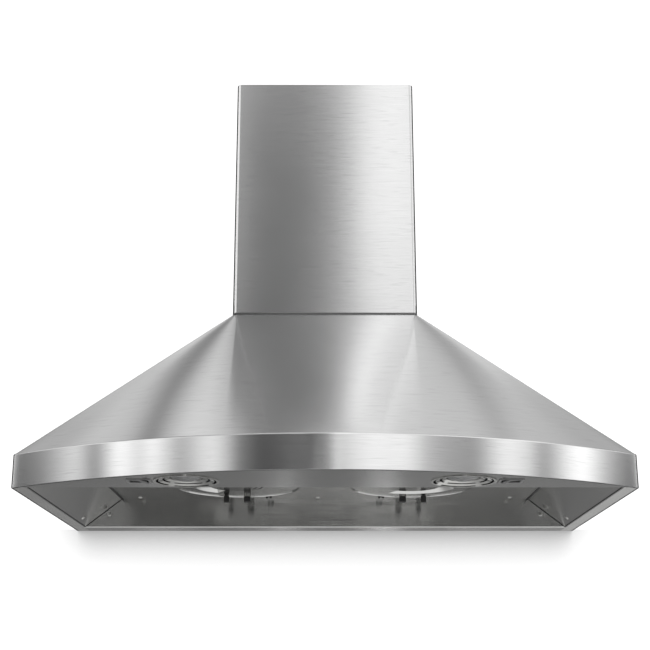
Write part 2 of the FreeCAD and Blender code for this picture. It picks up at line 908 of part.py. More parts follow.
def plenum_solid(inset):
    """Filled plenum: a box between the outlets, then a transition to the round duct."""
    y0 = outlet_span()[0] - sheet - plenum_front_margin + inset
    y1 = -plenum_back - inset
    half = plenum_half_width - inset
    z0 = skirt_high + inset
    lower = box(-half, half, y0, y1, z0, scroll_high)
    neck = rectangle_edges(half, y0, y1, scroll_high)
    round_edges = circle_quarters(Vector(0, duct_y, canopy_top), duct_radius - inset)
    return lower.fuse(ruled_solid(neck, round_edges)).removeSplitter()


def exhaust_plenum():
    """Sheet plenum that gathers both outlets under the duct collar."""
    plenum = plenum_solid(0).cut(plenum_solid(sheet))
    front, back = outlet_span()
    reach = plenum_half_width + overrun
    return plenum.cut(box(-reach, reach, front, back, skirt_high + sheet, scroll_high - sheet))


def top_plate():
    """Plate over the canopy's mouth with the duct hole and the upstand that holds the flue cover."""
    plate = prism(chimney_outline(0, canopy_top), sheet)
    ring = prism(chimney_outline(sheet, plate_high), upstand_height)
    ring = ring.cut(prism(chimney_outline(2 * sheet, plate_high), upstand_height))
    clear_y = -sheet - lip_clearance
    ring_high = plate_high + upstand_height
    ring = ring.common(box(-hood_width, hood_width, -hood_depth, clear_y, plate_high, ring_high))
    plate = plate.fuse(ring).removeSplitter()
    hole_radius = duct_radius - sheet
    return plate.cut(rod(0, duct_y, canopy_top - overrun, plate_high + overrun, hole_radius))


def duct_collar():
    """Round collar for the duct, with a flange and the ledge that stops the flaps."""
    low = plate_high
    body = tube(0, duct_y, low, low + collar_height, duct_radius, duct_radius - sheet)
    flange = tube(0, duct_y, low, low + sheet, duct_radius + collar_flange, duct_radius - sheet)
    stop = low + stop_height
    ledge = tube(0, duct_y, stop - sheet, stop, duct_radius - sheet / 2, duct_radius - sheet - stop_ledge)
    collar = body.fuse([flange, ledge]).removeSplitter()
    return collar.cut(damper_rod())


def damper_rod():
    """Rod across the collar that carries both flaps, with its ends seated in the collar's wall."""
    reach = duct_radius - sheet / 2
    return bar_x(-reach, reach, duct_y, plate_high + rod_height, rod_radius)


def damper_flap(direction):
    """Half-round flap with two knuckles, behind (1) or in front of (-1) the rod."""
    z = plate_high + rod_height
    stop = plate_high + stop_height + lip_clearance
    radius = duct_radius - sheet - flap_edge_gap
    knuckle_radius = rod_radius + running_gap + knuckle_wall
    disc = rod(0, duct_y, stop, stop + flap_sheet, radius)
    near = knuckle_radius + flap_rod_gap
    far = radius + overrun
    low_y, high_y = sorted((duct_y + direction * near, duct_y + direction * far))
    flap = disc.common(box(-far, far, low_y, high_y, stop - overrun, stop + overrun))
    bore = bar_x(-far, far, duct_y, z, rod_radius + running_gap)
    starts = knuckle_starts(direction)
    for start in starts:
        knuckle = bar_x(start, start + knuckle_length, duct_y, z, knuckle_radius)
        arm_y0, arm_y1 = sorted((duct_y, duct_y + direction * (near + knuckle_wall)))
        arm = box(start, start + knuckle_length, arm_y0, arm_y1, stop, z)
        flap = flap.fuse([knuckle, arm])
    return flap.cut(bore).removeSplitter()


def knuckle_starts(direction):
    """Low X ends of a flap's two knuckles; the front flap's lie inside the rear flap's."""
    step = knuckle_length + knuckle_gap
    if direction > 0:
        return (-2 * step, step + knuckle_gap)
    return (-step, knuckle_gap)


def chimney_cover():
    """Folded flue cover: front, two sides and rear lips, open above and below."""
    tall = chimney_high - chimney_low
    outer = prism(chimney_outline(0, chimney_low), tall)
    inner = prism(chimney_outline(sheet, chimney_low), tall)
    cover = outer.cut(inner)
    for side in SIDES.values():
        edge = side * (chimney_width / 2 - sheet)
        x0, x1 = sorted((edge, edge - side * chimney_lip))
        cover = cover.fuse(box(x0, x1, -sheet, 0, chimney_low, chimney_high))
    reach = chimney_width
    hole = bar_x(-reach, reach, chimney_screw_y, chimney_screw_height(), chimney_screw_radius + running_gap)
    return cover.removeSplitter().cut(hole)


def chimney_screw_height():
    return chimney_high - bracket_drop - bracket_height / 2


def chimney_bracket():
    """Wall bracket in the flue cover: a pad on the wall, a strip behind the lips and two tabs."""
    high = chimney_high - bracket_drop
    low = high - bracket_height
    half = chimney_width / 2 - sheet
    strip = box(-half, half, -2 * sheet, -sheet, low, high)
    pad_half = bracket_pad_width / 2
    pad = box(-pad_half, pad_half, -sheet, 0, low, high)
    bracket = strip.fuse(pad)
    for side in SIDES.values():
        x0, x1 = sorted((side * half, side * (half - sheet)))
        bracket = bracket.fuse(box(x0, x1, -bracket_tab, -sheet, low, high))
    middle = (low + high) / 2
    reach = chimney_width
    bracket = bracket.removeSplitter()
    bracket = bracket.cut(bar_x(-reach, reach, chimney_screw_y, middle, chimney_screw_radius + running_gap))
    for side in SIDES.values():
        x = side * (pad_half - bracket_height / 2)
        bracket = bracket.cut(bar_y(x, -2 * sheet - overrun, overrun, middle, wall_screw_radius))
    return bracket


def chimney_screws():
    """One screw through each side of the flue cover into the bracket's tabs."""
    z = chimney_screw_height()
    place = Vector(chimney_width / 2, chimney_screw_y, z)
    body = screw(
        place,
        X_AXIS.negative(),
        chimney_screw_head_radius,
        chimney_screw_head,
        chimney_screw_radius,
        chimney_screw_length,
    )
    return Part.makeCompound([mirrored(body, side) for side in SIDES.values()])


def gland_place():
    """X and Z of the wiring hole in the back panel, at the middle of the wiring box."""
    return box_x, box_low + box_tall / 2


def junction_box():
    """Open-fronted wiring box against the back panel."""
    x0 = box_x - box_width / 2
    x1 = box_x + box_width / 2
    back = -sheet
    front = back - box_depth
    body = box(x0, x1, front, back, box_low, box_low + box_tall)
    inner_high = box_low + box_tall - sheet
    body = body.cut(box(x0 + sheet, x1 - sheet, front, back - sheet, box_low + sheet, inner_high))
    gland_x, gland_z = gland_place()
    return body.cut(bar_y(gland_x, back - sheet - overrun, overrun, gland_z, gland_hole_radius))


def junction_cover():
    """Flat cover of the wiring box with a short lip above and below."""
    x0 = box_x - box_width / 2
    x1 = box_x + box_width / 2
    front = -sheet - box_depth
    plate = box(x0, x1, front - sheet, front, box_low - sheet, box_low + box_tall + sheet)
    for z in (box_low - sheet, box_low + box_tall):
        plate = plate.fuse(box(x0, x1, front, front + box_lip, z, z + sheet))
    return plate.removeSplitter()


def cable_gland():
    """Bushed wiring entry: its flange is inside the box and its barrel passes the back panel."""
    x, z = gland_place()
    inside = -2 * sheet
    flange = bar_y(x, inside - gland_flange, inside, z, gland_flange_radius)
    barrel = bar_y(x, inside - gland_flange, 0, z, gland_hole_radius - gland_gap)
    bore = bar_y(x, inside - gland_flange - overrun, overrun, z, gland_bore_radius)
    return flange.fuse(barrel).removeSplitter().cut(bore)


def lamp_trim(side):
    """Dished stainless trim with two rows of curved slots round the lens."""
    profile = [
        (lamp_lip_radius, 0),
        (lamp_lip_radius, -lamp_lip),
        (lamp_dish_radius - lamp_lip, -lamp_lip),
        (lamp_eye_radius, lamp_dish_rise - lamp_lip),
        (lamp_eye_radius, lamp_dish_rise + lamp_neck),
        (lamp_eye_radius + lamp_lip, lamp_dish_rise + lamp_neck),
        (lamp_eye_radius + lamp_lip, lamp_dish_rise),
        (lamp_dish_radius, 0),
    ]
    centre = Vector(lamp_x, lamp_y, 0)
    trim = revolved(profile, centre)
    slots = arc_slots(
        centre,
        lamp_slot_radii,
        lamp_slot_width,
        lamp_slot_count,
        lamp_slot_sweep,
        lamp_slot_shift,
        -lamp_lip - overrun,
        lamp_dish_rise,
    )
    return mirrored(trim.cut(slots), side)


def lamp_lens(side):
    """Domed glass in the eye of the trim."""
    radius = lamp_eye_radius - lens_gap
    high = lamp_dish_rise + lamp_neck
    low = high - lens_thickness
    centre = Vector(lamp_x, lamp_y, 0)
    rim = Vector(centre.x + radius, centre.y, low)
    apex = Vector(centre.x, centre.y, low - lens_bulge)
    ball = (radius ** 2 + lens_bulge ** 2) / (2 * lens_bulge)
    turn = math.asin(radius / ball) / 2
    middle = Vector(
        centre.x + ball * math.sin(turn), centre.y, apex.z + ball - ball * math.cos(turn)
    )
    edges = [
        Part.Arc(apex, middle, rim).toShape(),
        line(rim, Vector(rim.x, rim.y, high)),
        line(Vector(rim.x, rim.y, high), Vector(apex.x, apex.y, high)),
        line(Vector(apex.x, apex.y, high), apex),
    ]
    lens = Part.Face(Part.Wire(edges)).revolve(centre, Z_AXIS, FULL_TURN)
    return mirrored(lens, side)


def lamp_bulb(side):
    """Short capsule lamp behind the lens."""
    low = lamp_dish_rise + lamp_neck + bulb_gap
    bulb = rod(lamp_x, lamp_y, low, low + bulb_length, bulb_radius)
    bulb = bulb.makeFillet(bulb_radius / 2, edges_at_height(bulb, low))
    return mirrored(bulb, side)


def lamp_can(side):
    """Drawn steel can over the lamp, with the lamp holder in its crown."""
    low = sheet
    high = low + lamp_can_height
    can = rod(lamp_x, lamp_y, low, high, lamp_can_radius)
    can = can.cut(rod(lamp_x, lamp_y, low, high - sheet, lamp_can_radius - sheet))
    holder_low = lamp_dish_rise + lamp_neck + bulb_gap + bulb_length
    holder = rod(lamp_x, lamp_y, holder_low, high, lamp_holder_radius)
    return mirrored(can.fuse(holder).removeSplitter(), side)


def switch_hole(side):
    """Opening in the panel for one switch."""
    half_x = bezel_width / 2 - bezel_frame
    half_y = bezel_depth / 2 - bezel_frame
    x = side * switch_x
    return box(x - half_x, x + half_x, switch_y - half_y, switch_y + half_y, -overrun, sheet + overrun)


def switch_bezel(side):
    """Black frame with a neck through the panel and blind sockets for the rocker's pins."""
    x, y = switch_x, switch_y
    lip = box(
        x - bezel_width / 2,
        x + bezel_width / 2,
        y - bezel_depth / 2,
        y + bezel_depth / 2,
        -bezel_lip,
        0,
    )
    neck_x = bezel_width / 2 - bezel_frame - gland_gap
    neck_y = bezel_depth / 2 - bezel_frame - gland_gap
    neck = box(x - neck_x, x + neck_x, y - neck_y, y + neck_y, 0, bezel_neck)
    hole_x, hole_y = bezel_inside()
    opening = box(x - hole_x, x + hole_x, y - hole_y, y + hole_y, -bezel_lip - overrun, bezel_neck + overrun)
    bezel = lip.fuse(neck).removeSplitter().cut(opening)
    reach = hole_y + rocker_pin_reach
    socket = bar_y(x, y - reach, y + reach, rocker_pin_height, rocker_pin_radius + running_gap)
    return mirrored(bezel.cut(socket), side)


def bezel_inside():
    """Half width and half depth of the bezel's opening."""
    half_x = bezel_width / 2 - bezel_frame - gland_gap - bezel_border
    half_y = bezel_depth / 2 - bezel_frame - gland_gap - bezel_border - rocker_pin_reach
    return half_x, half_y


def switch_rocker(side):
    """Rocker that stands proud at its inboard end."""
    x, y = switch_x, switch_y
    hole_x, hole_y = bezel_inside()
    half = hole_x - rocker_end_gap
    reach = hole_y - rocker_side_gap
    corners = [
        (-half, -bezel_lip - rocker_proud),
        (0, -bezel_lip + rocker_dip),
        (half, -bezel_lip - rocker_proud),
        (half, rocker_top),
        (2 * rocker_pin_radius, rocker_top + rocker_hub),
        (-2 * rocker_pin_radius, rocker_top + rocker_hub),
        (-half, rocker_top),
    ]
    points = [Vector(x + dx, y - reach, z) for dx, z in corners]
    rocker = polygon_prism(points, Vector(0, 2 * reach, 0))
    pin_end = hole_y + rocker_pin_reach - running_gap
    rocker = rocker.fuse(bar_y(x, y - pin_end, y + pin_end, rocker_pin_height, rocker_pin_radius))
    rocker = rocker.removeSplitter()
    rocker.rotate(Vector(x, y, rocker_pin_height), Y_AXIS, -rocker_half_throw)
    return mirrored(rocker, side)


def switch_body(side):
    """Contact block behind the bezel."""
    x, y = switch_x, switch_y
    half_x = bezel_width / 2 - bezel_frame - gland_gap
    half_y = bezel_depth / 2 - bezel_frame - gland_gap
    high = bezel_neck + switch_body_height
    body = box(x - half_x, x + half_x, y - half_y, y + half_y, bezel_neck, high)
    return mirrored(body, side)


def write_canopy():
    panel = back_panel()
    save("canopy_shell", canopy_shell())
    save("back_panel", panel)
    save("apron_band", apron_band(panel))
    save("top_plate", top_plate())


def write_underside():
    save("lamp_panel", lamp_panel())
    save("back_liner", back_liner())
    save("ceiling_panel", ceiling_panel())
    liner = side_liner()
    for name, side in SIDES.items():
        save("side_liner_" + name, mirrored(liner, side))
    save("ceiling_screws", ceiling_screws())
    save("liner_screws", liner_screws())
    save("rim_clips", rim_clips())


def write_blowers():
    for name, side in SIDES.items():
        save("inlet_cover_" + name, inlet_cover(side))
        save("knob_collar_" + name, knob_collar(side))
        save("outer_knob_" + name, latch_knob(side, 0))
        save("inner_knob_" + name, latch_knob(side, 1))
        save("blower_scroll_" + name, blower_scroll(side))
        save("motor_bracket_" + name, motor_bracket(side))
        save("blower_motor_" + name, blower_motor(side))
        save("motor_shaft_" + name, motor_shaft(side))
        save("impeller_plate_" + name, impeller_plate(side))
        save("impeller_ring_" + name, impeller_ring(side))
        save("impeller_blades_" + name, impeller_blades(side))
    save("motor_screws", motor_screws())


def write_exhaust():
    save("exhaust_plenum", exhaust_plenum())
    save("duct_collar", duct_collar())
    save("damper_rod", damper_rod())
    save("damper_flap_rear", damper_flap(1))
    save("damper_flap_front", damper_flap(-1))
    save("chimney_cover", chimney_cover())
    save("chimney_bracket", chimney_bracket())
    save("chimney_screws", chimney_screws())


def write_electrics():
    save("junction_box", junction_box())
    save("junction_cover", junction_cover())
    save("cable_gland", cable_gland())
    for name, side in SIDES.items():
        save("lamp_trim_" + name, lamp_trim(side))
        save("lamp_lens_" + name, lamp_lens(side))
        save("lamp_bulb_" + name, lamp_bulb(side))
        save("lamp_can_" + name, lamp_can(side))
        save("switch_bezel_" + name, switch_bezel(side))
        save("switch_rocker_" + name, switch_rocker(side))
        save("switch_body_" + name, switch_body(side))


write_canopy()
write_underside()
write_blowers()
write_exhaust()
write_electrics()
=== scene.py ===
import math

import bpy
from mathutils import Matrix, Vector


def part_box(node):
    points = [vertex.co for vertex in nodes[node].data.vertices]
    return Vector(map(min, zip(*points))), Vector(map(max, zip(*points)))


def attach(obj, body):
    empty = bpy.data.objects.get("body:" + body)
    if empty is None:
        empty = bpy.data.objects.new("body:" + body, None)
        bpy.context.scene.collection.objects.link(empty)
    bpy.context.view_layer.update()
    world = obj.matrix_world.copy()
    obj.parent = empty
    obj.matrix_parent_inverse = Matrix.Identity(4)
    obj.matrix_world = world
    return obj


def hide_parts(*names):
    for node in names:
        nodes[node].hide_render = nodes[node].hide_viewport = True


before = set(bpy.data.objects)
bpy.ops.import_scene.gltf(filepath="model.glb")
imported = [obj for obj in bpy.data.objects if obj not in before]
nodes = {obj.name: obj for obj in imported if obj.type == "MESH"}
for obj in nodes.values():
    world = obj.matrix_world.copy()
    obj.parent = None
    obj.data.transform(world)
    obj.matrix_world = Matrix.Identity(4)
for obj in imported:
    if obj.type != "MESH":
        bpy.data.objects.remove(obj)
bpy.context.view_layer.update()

# Camera
# A long lens a little below the hood looks up at its front, so the underside just shows.
# The lens, tilt and distance are those at which the hood's corners meet the photograph's.
FRAME_PIXELS = 650
SENSOR = 36.0
FOCAL_PIXELS = 1144.24
CAMERA_SHIFT = 0.1
CAMERA_PLACE = (0, -2.10883, -0.28435)
CAMERA_TILT = 14.699
camera_data = bpy.data.cameras.new("front_camera")
camera_data.sensor_width = SENSOR
camera_data.lens = FOCAL_PIXELS * SENSOR / FRAME_PIXELS
camera_data.shift_y = CAMERA_SHIFT
camera = bpy.data.objects.new("front_camera", camera_data)
camera.location = CAMERA_PLACE
camera.rotation_euler = (math.radians(90 + CAMERA_TILT), 0, 0)
bpy.context.scene.collection.objects.link(camera)
bpy.context.scene.camera = camera
bpy.context.scene.view_settings.view_transform = "Standard"


# Studio
# A pale wall and floor, and a soft surround of lit and unlit panels that run front to back and give
# brushed metal its upright light and dark bands. Each set of panels lists (how far to the right, how
# bright), and lights one face of the hood.
def add_node(tree, kind, **values):
    """A node of a kind in a node tree, with its settings."""
    node = tree.nodes.new(kind)
    for name, value in values.items():
        setattr(node, name, value)
    return node


PANEL_PEAK = 2.8
BAND_PANELS = (
    (-0.98, 0.16), (-0.945, 0.5), (-0.895, 1.1), (-0.843, 0.5), (-0.785, 1.7), (-0.72, 1.35),
    (-0.67, 1.6), (-0.58, 0.72), (-0.48, 1.35), (-0.425, 1.2), (-0.365, 0.45), (-0.30, 0.13),
    (-0.2, 0.07), (-0.09, 0.1), (-0.03, 0.25), (0.05, 0.8), (0.16, 1.5), (0.28, 1.62), (0.35, 1.5),
    (0.42, 0.9), (0.55, 0.5), (0.62, 0.65), (0.695, 1.5), (0.77, 1.2), (0.825, 0.6), (0.905, 1.95),
    (0.94, 1.2), (0.98, 0.2),
)
FLUE_PANELS = (
    (-0.98, 1.4), (-0.9, 1.2), (-0.82, 1.45), (-0.7, 1.4), (-0.5, 1.2), (-0.3, 0.4), (-0.15, 0.5),
    (-0.085, 0.7), (-0.067, 0.32), (-0.05, 0.22), (-0.03, 0.18), (-0.015, 0.23), (0.0, 0.36),
    (0.012, 0.56), (0.024, 0.93), (0.036, 1.45), (0.055, 1.52), (0.08, 1.38), (0.3, 1.3),
    (0.42, 1.0), (0.55, 1.0), (0.7, 1.4), (0.82, 1.45), (0.9, 1.2), (0.98, 1.4),
)
MIRRORED_PANELS = (
    (-1.0, 0.5), (-0.2, 0.5), (-0.1, 0.36), (-0.08, 0.26), (-0.064, 0.2), (-0.052, 0.19), (-0.041, 0.2),
    (-0.029, 0.23), (-0.018, 0.29), (-0.006, 0.38), (0.005, 0.53), (0.016, 0.8), (0.028, 1.25), (0.039, 1.85),
    (0.051, 2.3), (0.062, 2.2), (0.074, 1.9), (0.093, 1.75), (0.2, 1.7), (1.0, 1.7),
)
CANOPY_FRONT_PANELS = (
    (-1.0, 0.6), (-0.36, 0.35), (-0.319, 0.44), (-0.297, 0.76), (-0.265, 0.99), (-0.235, 1.03),
    (-0.205, 0.92), (-0.17, 0.67), (-0.14, 0.43), (-0.12, 0.35), (-0.095, 0.31), (-0.07, 0.36),
    (-0.035, 0.46), (0.0, 0.62), (0.05, 0.9), (0.085, 1.12), (0.11, 1.1), (0.136, 0.99),
    (0.16, 0.93), (0.19, 0.88), (0.23, 0.85), (0.296, 0.84), (0.32, 0.74), (0.36, 0.7),
    (0.42, 1.5), (1.0, 1.7),
)
CANOPY_FLANK_PANELS = (
    (-1.0, 0.6), (-0.4, 0.8), (-0.34, 0.76), (-0.318, 0.5), (-0.3, 0.38), (-0.285, 0.36), (-0.25, 0.34),
    (-0.2, 0.4), (0.0, 0.4), (0.2, 0.5), (0.25, 0.54), (0.28, 0.5), (0.3, 0.55), (0.315, 0.6), (0.33, 0.68),
    (0.345, 0.73), (0.4, 0.7), (1.0, 0.6),
)
CANOPY_OUTER_PANELS = (
    (-1.0, 0.6), (-0.4, 0.6), (-0.356, 0.78), (-0.32, 0.72), (-0.29, 0.9), (-0.2, 0.6), (0.2, 0.7),
    (0.29, 0.86), (0.318, 0.9), (0.345, 0.7), (0.4, 0.6), (1.0, 0.6),
)
UNDER_PANELS = (
    (-1.0, 0.17), (-0.3, 0.17), (-0.2, 0.19), (-0.158, 0.42), (-0.132, 0.42), (-0.115, 0.18), (-0.07, 0.2),
    (-0.055, 0.45), (-0.043, 1.0), (-0.032, 1.1), (-0.02, 0.4), (-0.008, 0.2), (0.015, 0.2), (0.032, 0.6),
    (0.045, 1.9), (0.058, 1.9), (0.07, 0.5), (0.1, 0.3), (0.112, 0.46), (0.128, 0.42), (0.15, 0.2),
    (0.3, 0.17), (1.0, 0.17),
)
CEILING_PANELS = (
    (-1.0, 0.06), (-0.2, 0.06), (-0.1, 0.09), (-0.08, 0.15), (-0.06, 0.4), (-0.043, 0.9), (-0.032, 0.95),
    (-0.02, 0.4), (-0.008, 0.22), (0.015, 0.24), (0.032, 0.6), (0.045, 1.5), (0.058, 1.45), (0.07, 0.5),
    (0.092, 0.2), (0.115, 0.1), (0.2, 0.06), (1.0, 0.06),
)
OVERHEAD_PANELS = (
    (-1.0, 1.0), (-0.6, 1.3), (-0.3, 0.9), (0.0, 1.4), (0.3, 0.9), (0.6, 1.3), (1.0, 1.0),
)
FLOOR_PANELS = (
    (-1.0, 0.5), (-0.8, 0.9), (-0.65, 0.4), (-0.5, 0.6), (-0.35, 0.25), (-0.15, 0.3), (0.1, 0.5), (0.3, 0.9),
    (0.5, 0.5), (0.7, 1.0), (0.85, 0.6), (1.0, 0.5),
)
FLANGE_PANELS = (
    (-1.0, 0.3), (-0.17, 0.34), (-0.145, 0.58), (-0.12, 0.45), (-0.1, 0.3), (-0.06, 0.38), (-0.045, 0.65),
    (-0.035, 0.9), (-0.02, 0.5), (-0.005, 0.33), (0.015, 0.35), (0.03, 0.6), (0.052, 1.4), (0.07, 0.6),
    (0.1, 0.4), (0.118, 0.58), (0.14, 0.46), (0.17, 0.34), (1.0, 0.3),
)

# Where one set of panels gives way to the next, by how far up or to the rear a direction points.
CEILING_TO_UNDER = (-0.175, -0.15)
UNDER_TO_BAND = (0.02, 0.12)
BAND_TO_FLUE = (0.27, 0.33)
FLUE_TO_CANOPY = (0.53, 0.6)
OUTER_TO_FLANK = (0.68, 0.75)
FLANK_TO_FRONT = (0.8, 0.86)
OVERHEAD_TO_MIRRORED = (0.72, 0.78)
MIRRORED_TO_TOP = (0.88, 1.0)
CANOPY_TO_CEILING_LIGHT = (0.96, 0.99)
SIDES_TO_FLOOR = (-0.24, -0.36)
FLOOR_TO_BELOW = (-0.6, -0.75)
REAR_LOW_TO_FLANGE = (-0.152, -0.136)
REAR_LOW_TO_WALL = (0.0, 0.06)
FRONT_TO_REAR = (-0.085, -0.05)
PALE_TO_DARK_REAR = (-0.02, 0.08)
MIRRORED_TO_DIRECT = (-0.2, 0.0)
PALE_REAR = 1.7
DARK_REAR = 0.02
LOW_REAR = 0.15
TOP_LIGHT = 1.0
CEILING_LIGHT = 1.25
BELOW_LIGHT = 1.1

world = bpy.data.worlds.new("studio_surround")
bpy.context.scene.world = world
world.use_nodes = True
sky = world.node_tree
sky.nodes.clear()
direction = add_node(sky, "ShaderNodeTexCoord")
parts = add_node(sky, "ShaderNodeSeparateXYZ")
sky.links.new(direction.outputs["Generated"], parts.inputs[0])
across = add_node(sky, "ShaderNodeMath", operation="MULTIPLY_ADD")
across.inputs[1].default_value = 0.5
across.inputs[2].default_value = 0.5
sky.links.new(parts.outputs["X"], across.inputs[0])
upwards = parts.outputs["Z"]
to_rear = parts.outputs["Y"]


def lit_panels(stops):
    """Surround level by how far to the right a direction points."""
    node = add_node(sky, "ShaderNodeValToRGB")
    ramp = node.color_ramp
    ramp.interpolation = "CARDINAL"
    ramp.elements.remove(ramp.elements[-1])
    for index, (right, grey) in enumerate(stops):
        position = right * 0.5 + 0.5
        if index:
            stop = ramp.elements.new(position)
        else:
            stop = ramp.elements[0]
            stop.position = position
        stop.color = (grey / PANEL_PEAK,) * 3 + (1,)
    sky.links.new(across.outputs[0], node.inputs[0])
    return node.outputs["Color"]


def share_between(source, start, end):
    """Smooth share from 0 at one value to 1 at another."""
    node = add_node(sky, "ShaderNodeMapRange", interpolation_type="SMOOTHSTEP")
    node.inputs["From Min"].default_value = start
    node.inputs["From Max"].default_value = end
    sky.links.new(source, node.inputs["Value"])
    return node.outputs["Result"]


def blend_levels(share, first, second):
    """Mix by a share of two levels, each a plain number or what a node gives."""
    node = add_node(sky, "ShaderNodeMix", data_type="RGBA")
    sky.links.new(share, node.inputs["Factor"])
    for socket, source in (("A", first), ("B", second)):
        if isinstance(source, float):
            node.inputs[socket].default_value = (source / PANEL_PEAK,) * 3 + (1,)
        else:
            sky.links.new(source, node.inputs[socket])
    return node.outputs["Result"]


# What the front sees: the underside's panels lowest, then the band's, then the flue's.
under_light = blend_levels(
    share_between(upwards, *CEILING_TO_UNDER), lit_panels(CEILING_PANELS), lit_panels(UNDER_PANELS)
)
front_light = blend_levels(
    share_between(upwards, *BAND_TO_FLUE), lit_panels(BAND_PANELS), lit_panels(FLUE_PANELS)
)
front_light = blend_levels(share_between(upwards, *UNDER_TO_BAND), under_light, front_light)
# Behind the hood a pale wall lights its corners, and a dark one beyond it draws their outline.
rear_light = blend_levels(share_between(to_rear, *PALE_TO_DARK_REAR), PALE_REAR, DARK_REAR)
rear_low = blend_levels(share_between(upwards, *REAR_LOW_TO_FLANGE), LOW_REAR, lit_panels(FLANGE_PANELS))
rear_light = blend_levels(share_between(upwards, *REAR_LOW_TO_WALL), rear_low, rear_light)
all_light = blend_levels(share_between(to_rear, *FRONT_TO_REAR), front_light, rear_light)
# The canopy sees the surround above it, and once more the one above its front, mirrored in the flue.
canopy_light = blend_levels(
    share_between(upwards, *OUTER_TO_FLANK), lit_panels(CANOPY_OUTER_PANELS), lit_panels(CANOPY_FLANK_PANELS)
)
canopy_light = blend_levels(
    share_between(upwards, *FLANK_TO_FRONT), canopy_light, lit_panels(CANOPY_FRONT_PANELS)
)
mirrored_light = blend_levels(
    share_between(upwards, *OVERHEAD_TO_MIRRORED), lit_panels(OVERHEAD_PANELS), lit_panels(MIRRORED_PANELS)
)
mirrored_light = blend_levels(share_between(upwards, *MIRRORED_TO_TOP), mirrored_light, TOP_LIGHT)
upper_light = blend_levels(share_between(to_rear, *MIRRORED_TO_DIRECT), mirrored_light, canopy_light)
all_light = blend_levels(share_between(upwards, *FLUE_TO_CANOPY), all_light, upper_light)
# A bright ceiling light overhead and the pale floor below draw the light lines along the folded edges.
all_light = blend_levels(share_between(upwards, *CANOPY_TO_CEILING_LIGHT), all_light, CEILING_LIGHT)
all_light = blend_levels(share_between(upwards, *SIDES_TO_FLOOR), all_light, lit_panels(FLOOR_PANELS))
all_light = blend_levels(share_between(upwards, *FLOOR_TO_BELOW), all_light, BELOW_LIGHT)
surround = add_node(sky, "ShaderNodeBackground")
surround.inputs["Strength"].default_value = PANEL_PEAK
sky.links.new(all_light, surround.inputs["Color"])
white = add_node(sky, "ShaderNodeBackground")
white.inputs["Color"].default_value = (1, 1, 1, 1)
rays = add_node(sky, "ShaderNodeLightPath")
chosen = add_node(sky, "ShaderNodeMixShader")
sky.links.new(rays.outputs["Is Camera Ray"], chosen.inputs[0])
sky.links.new(surround.outputs[0], chosen.inputs[1])
sky.links.new(white.outputs[0], chosen.inputs[2])
output = add_node(sky, "ShaderNodeOutputWorld")
sky.links.new(chosen.outputs[0], output.inputs["Surface"])

WALL_GREY = 0.25
SHADOW_REACH = 0.085
SHADOW_CURVE = 1.5
SHADOW_SAMPLES = 16
EDGE_FADE = (-0.002, 0.004)
wall_finish = bpy.data.materials.new("pale_wall")
wall_finish.use_nodes = True
tree = wall_finish.node_tree
tree.nodes.clear()
paint = add_node(tree, "ShaderNodeBsdfDiffuse")
paint.inputs["Color"].default_value = (WALL_GREY, WALL_GREY, WALL_GREY, 1)
# A soft contact shadow darkens the wall for about 80 mm under the hood's rear edge.
nearness = add_node(tree, "ShaderNodeAmbientOcclusion", samples=SHADOW_SAMPLES)
nearness.inputs["Distance"].default_value = SHADOW_REACH
softened = add_node(tree, "ShaderNodeMath", operation="POWER")
softened.inputs[1].default_value = SHADOW_CURVE
tree.links.new(nearness.outputs["AO"], softened.inputs[0])
face = add_node(tree, "ShaderNodeNewGeometry")
height = add_node(tree, "ShaderNodeSeparateXYZ")
tree.links.new(face.outputs["Position"], height.inputs[0])
above_edge = add_node(tree, "ShaderNodeMapRange")
above_edge.inputs["From Min"].default_value = EDGE_FADE[0]
above_edge.inputs["From Max"].default_value = EDGE_FADE[1]
tree.links.new(height.outputs["Z"], above_edge.inputs["Value"])
lit_share = add_node(tree, "ShaderNodeMath", operation="MAXIMUM")
tree.links.new(softened.outputs[0], lit_share.inputs[0])
tree.links.new(above_edge.outputs["Result"], lit_share.inputs[1])
# The camera sees the wall and floor glow white, and from behind it sees through them.
rays = add_node(tree, "ShaderNodeLightPath")
seen = add_node(tree, "ShaderNodeMath", operation="MULTIPLY")
tree.links.new(rays.outputs["Is Camera Ray"], seen.inputs[0])
tree.links.new(lit_share.outputs[0], seen.inputs[1])
glow = add_node(tree, "ShaderNodeEmission")
tree.links.new(seen.outputs[0], glow.inputs["Strength"])
both = add_node(tree, "ShaderNodeAddShader")
tree.links.new(paint.outputs[0], both.inputs[0])
tree.links.new(glow.outputs[0], both.inputs[1])
open_back = add_node(tree, "ShaderNodeBsdfTransparent")
chosen = add_node(tree, "ShaderNodeMixShader")
tree.links.new(face.outputs["Backfacing"], chosen.inputs[0])
tree.links.new(both.outputs[0], chosen.inputs[1])
tree.links.new(open_back.outputs[0], chosen.inputs[2])
output = add_node(tree, "ShaderNodeOutputMaterial")
tree.links.new(chosen.outputs[0], output.inputs["Surface"])

STAGE_SIZE = 12
STAGE_HALF = 6
FLOOR_Z = -1.9
WALL_GAP = 0.0015
bpy.ops.object.select_all(action="DESELECT")
bpy.ops.mesh.primitive_plane_add(
    size=STAGE_SIZE, location=(0, WALL_GAP, FLOOR_Z + STAGE_HALF), rotation=(math.pi / 2, 0, 0)
)
wall = bpy.context.object
wall.name = "studio_wall"
bpy.ops.mesh.primitive_plane_add(size=STAGE_SIZE, location=(0, -STAGE_HALF, FLOOR_Z))
floor = bpy.context.object
floor.name = "studio_floor"
for plane in (wall, floor):
    plane.data.materials.append(wall_finish)
    plane.visible_glossy = False
    plane.visible_diffuse = False

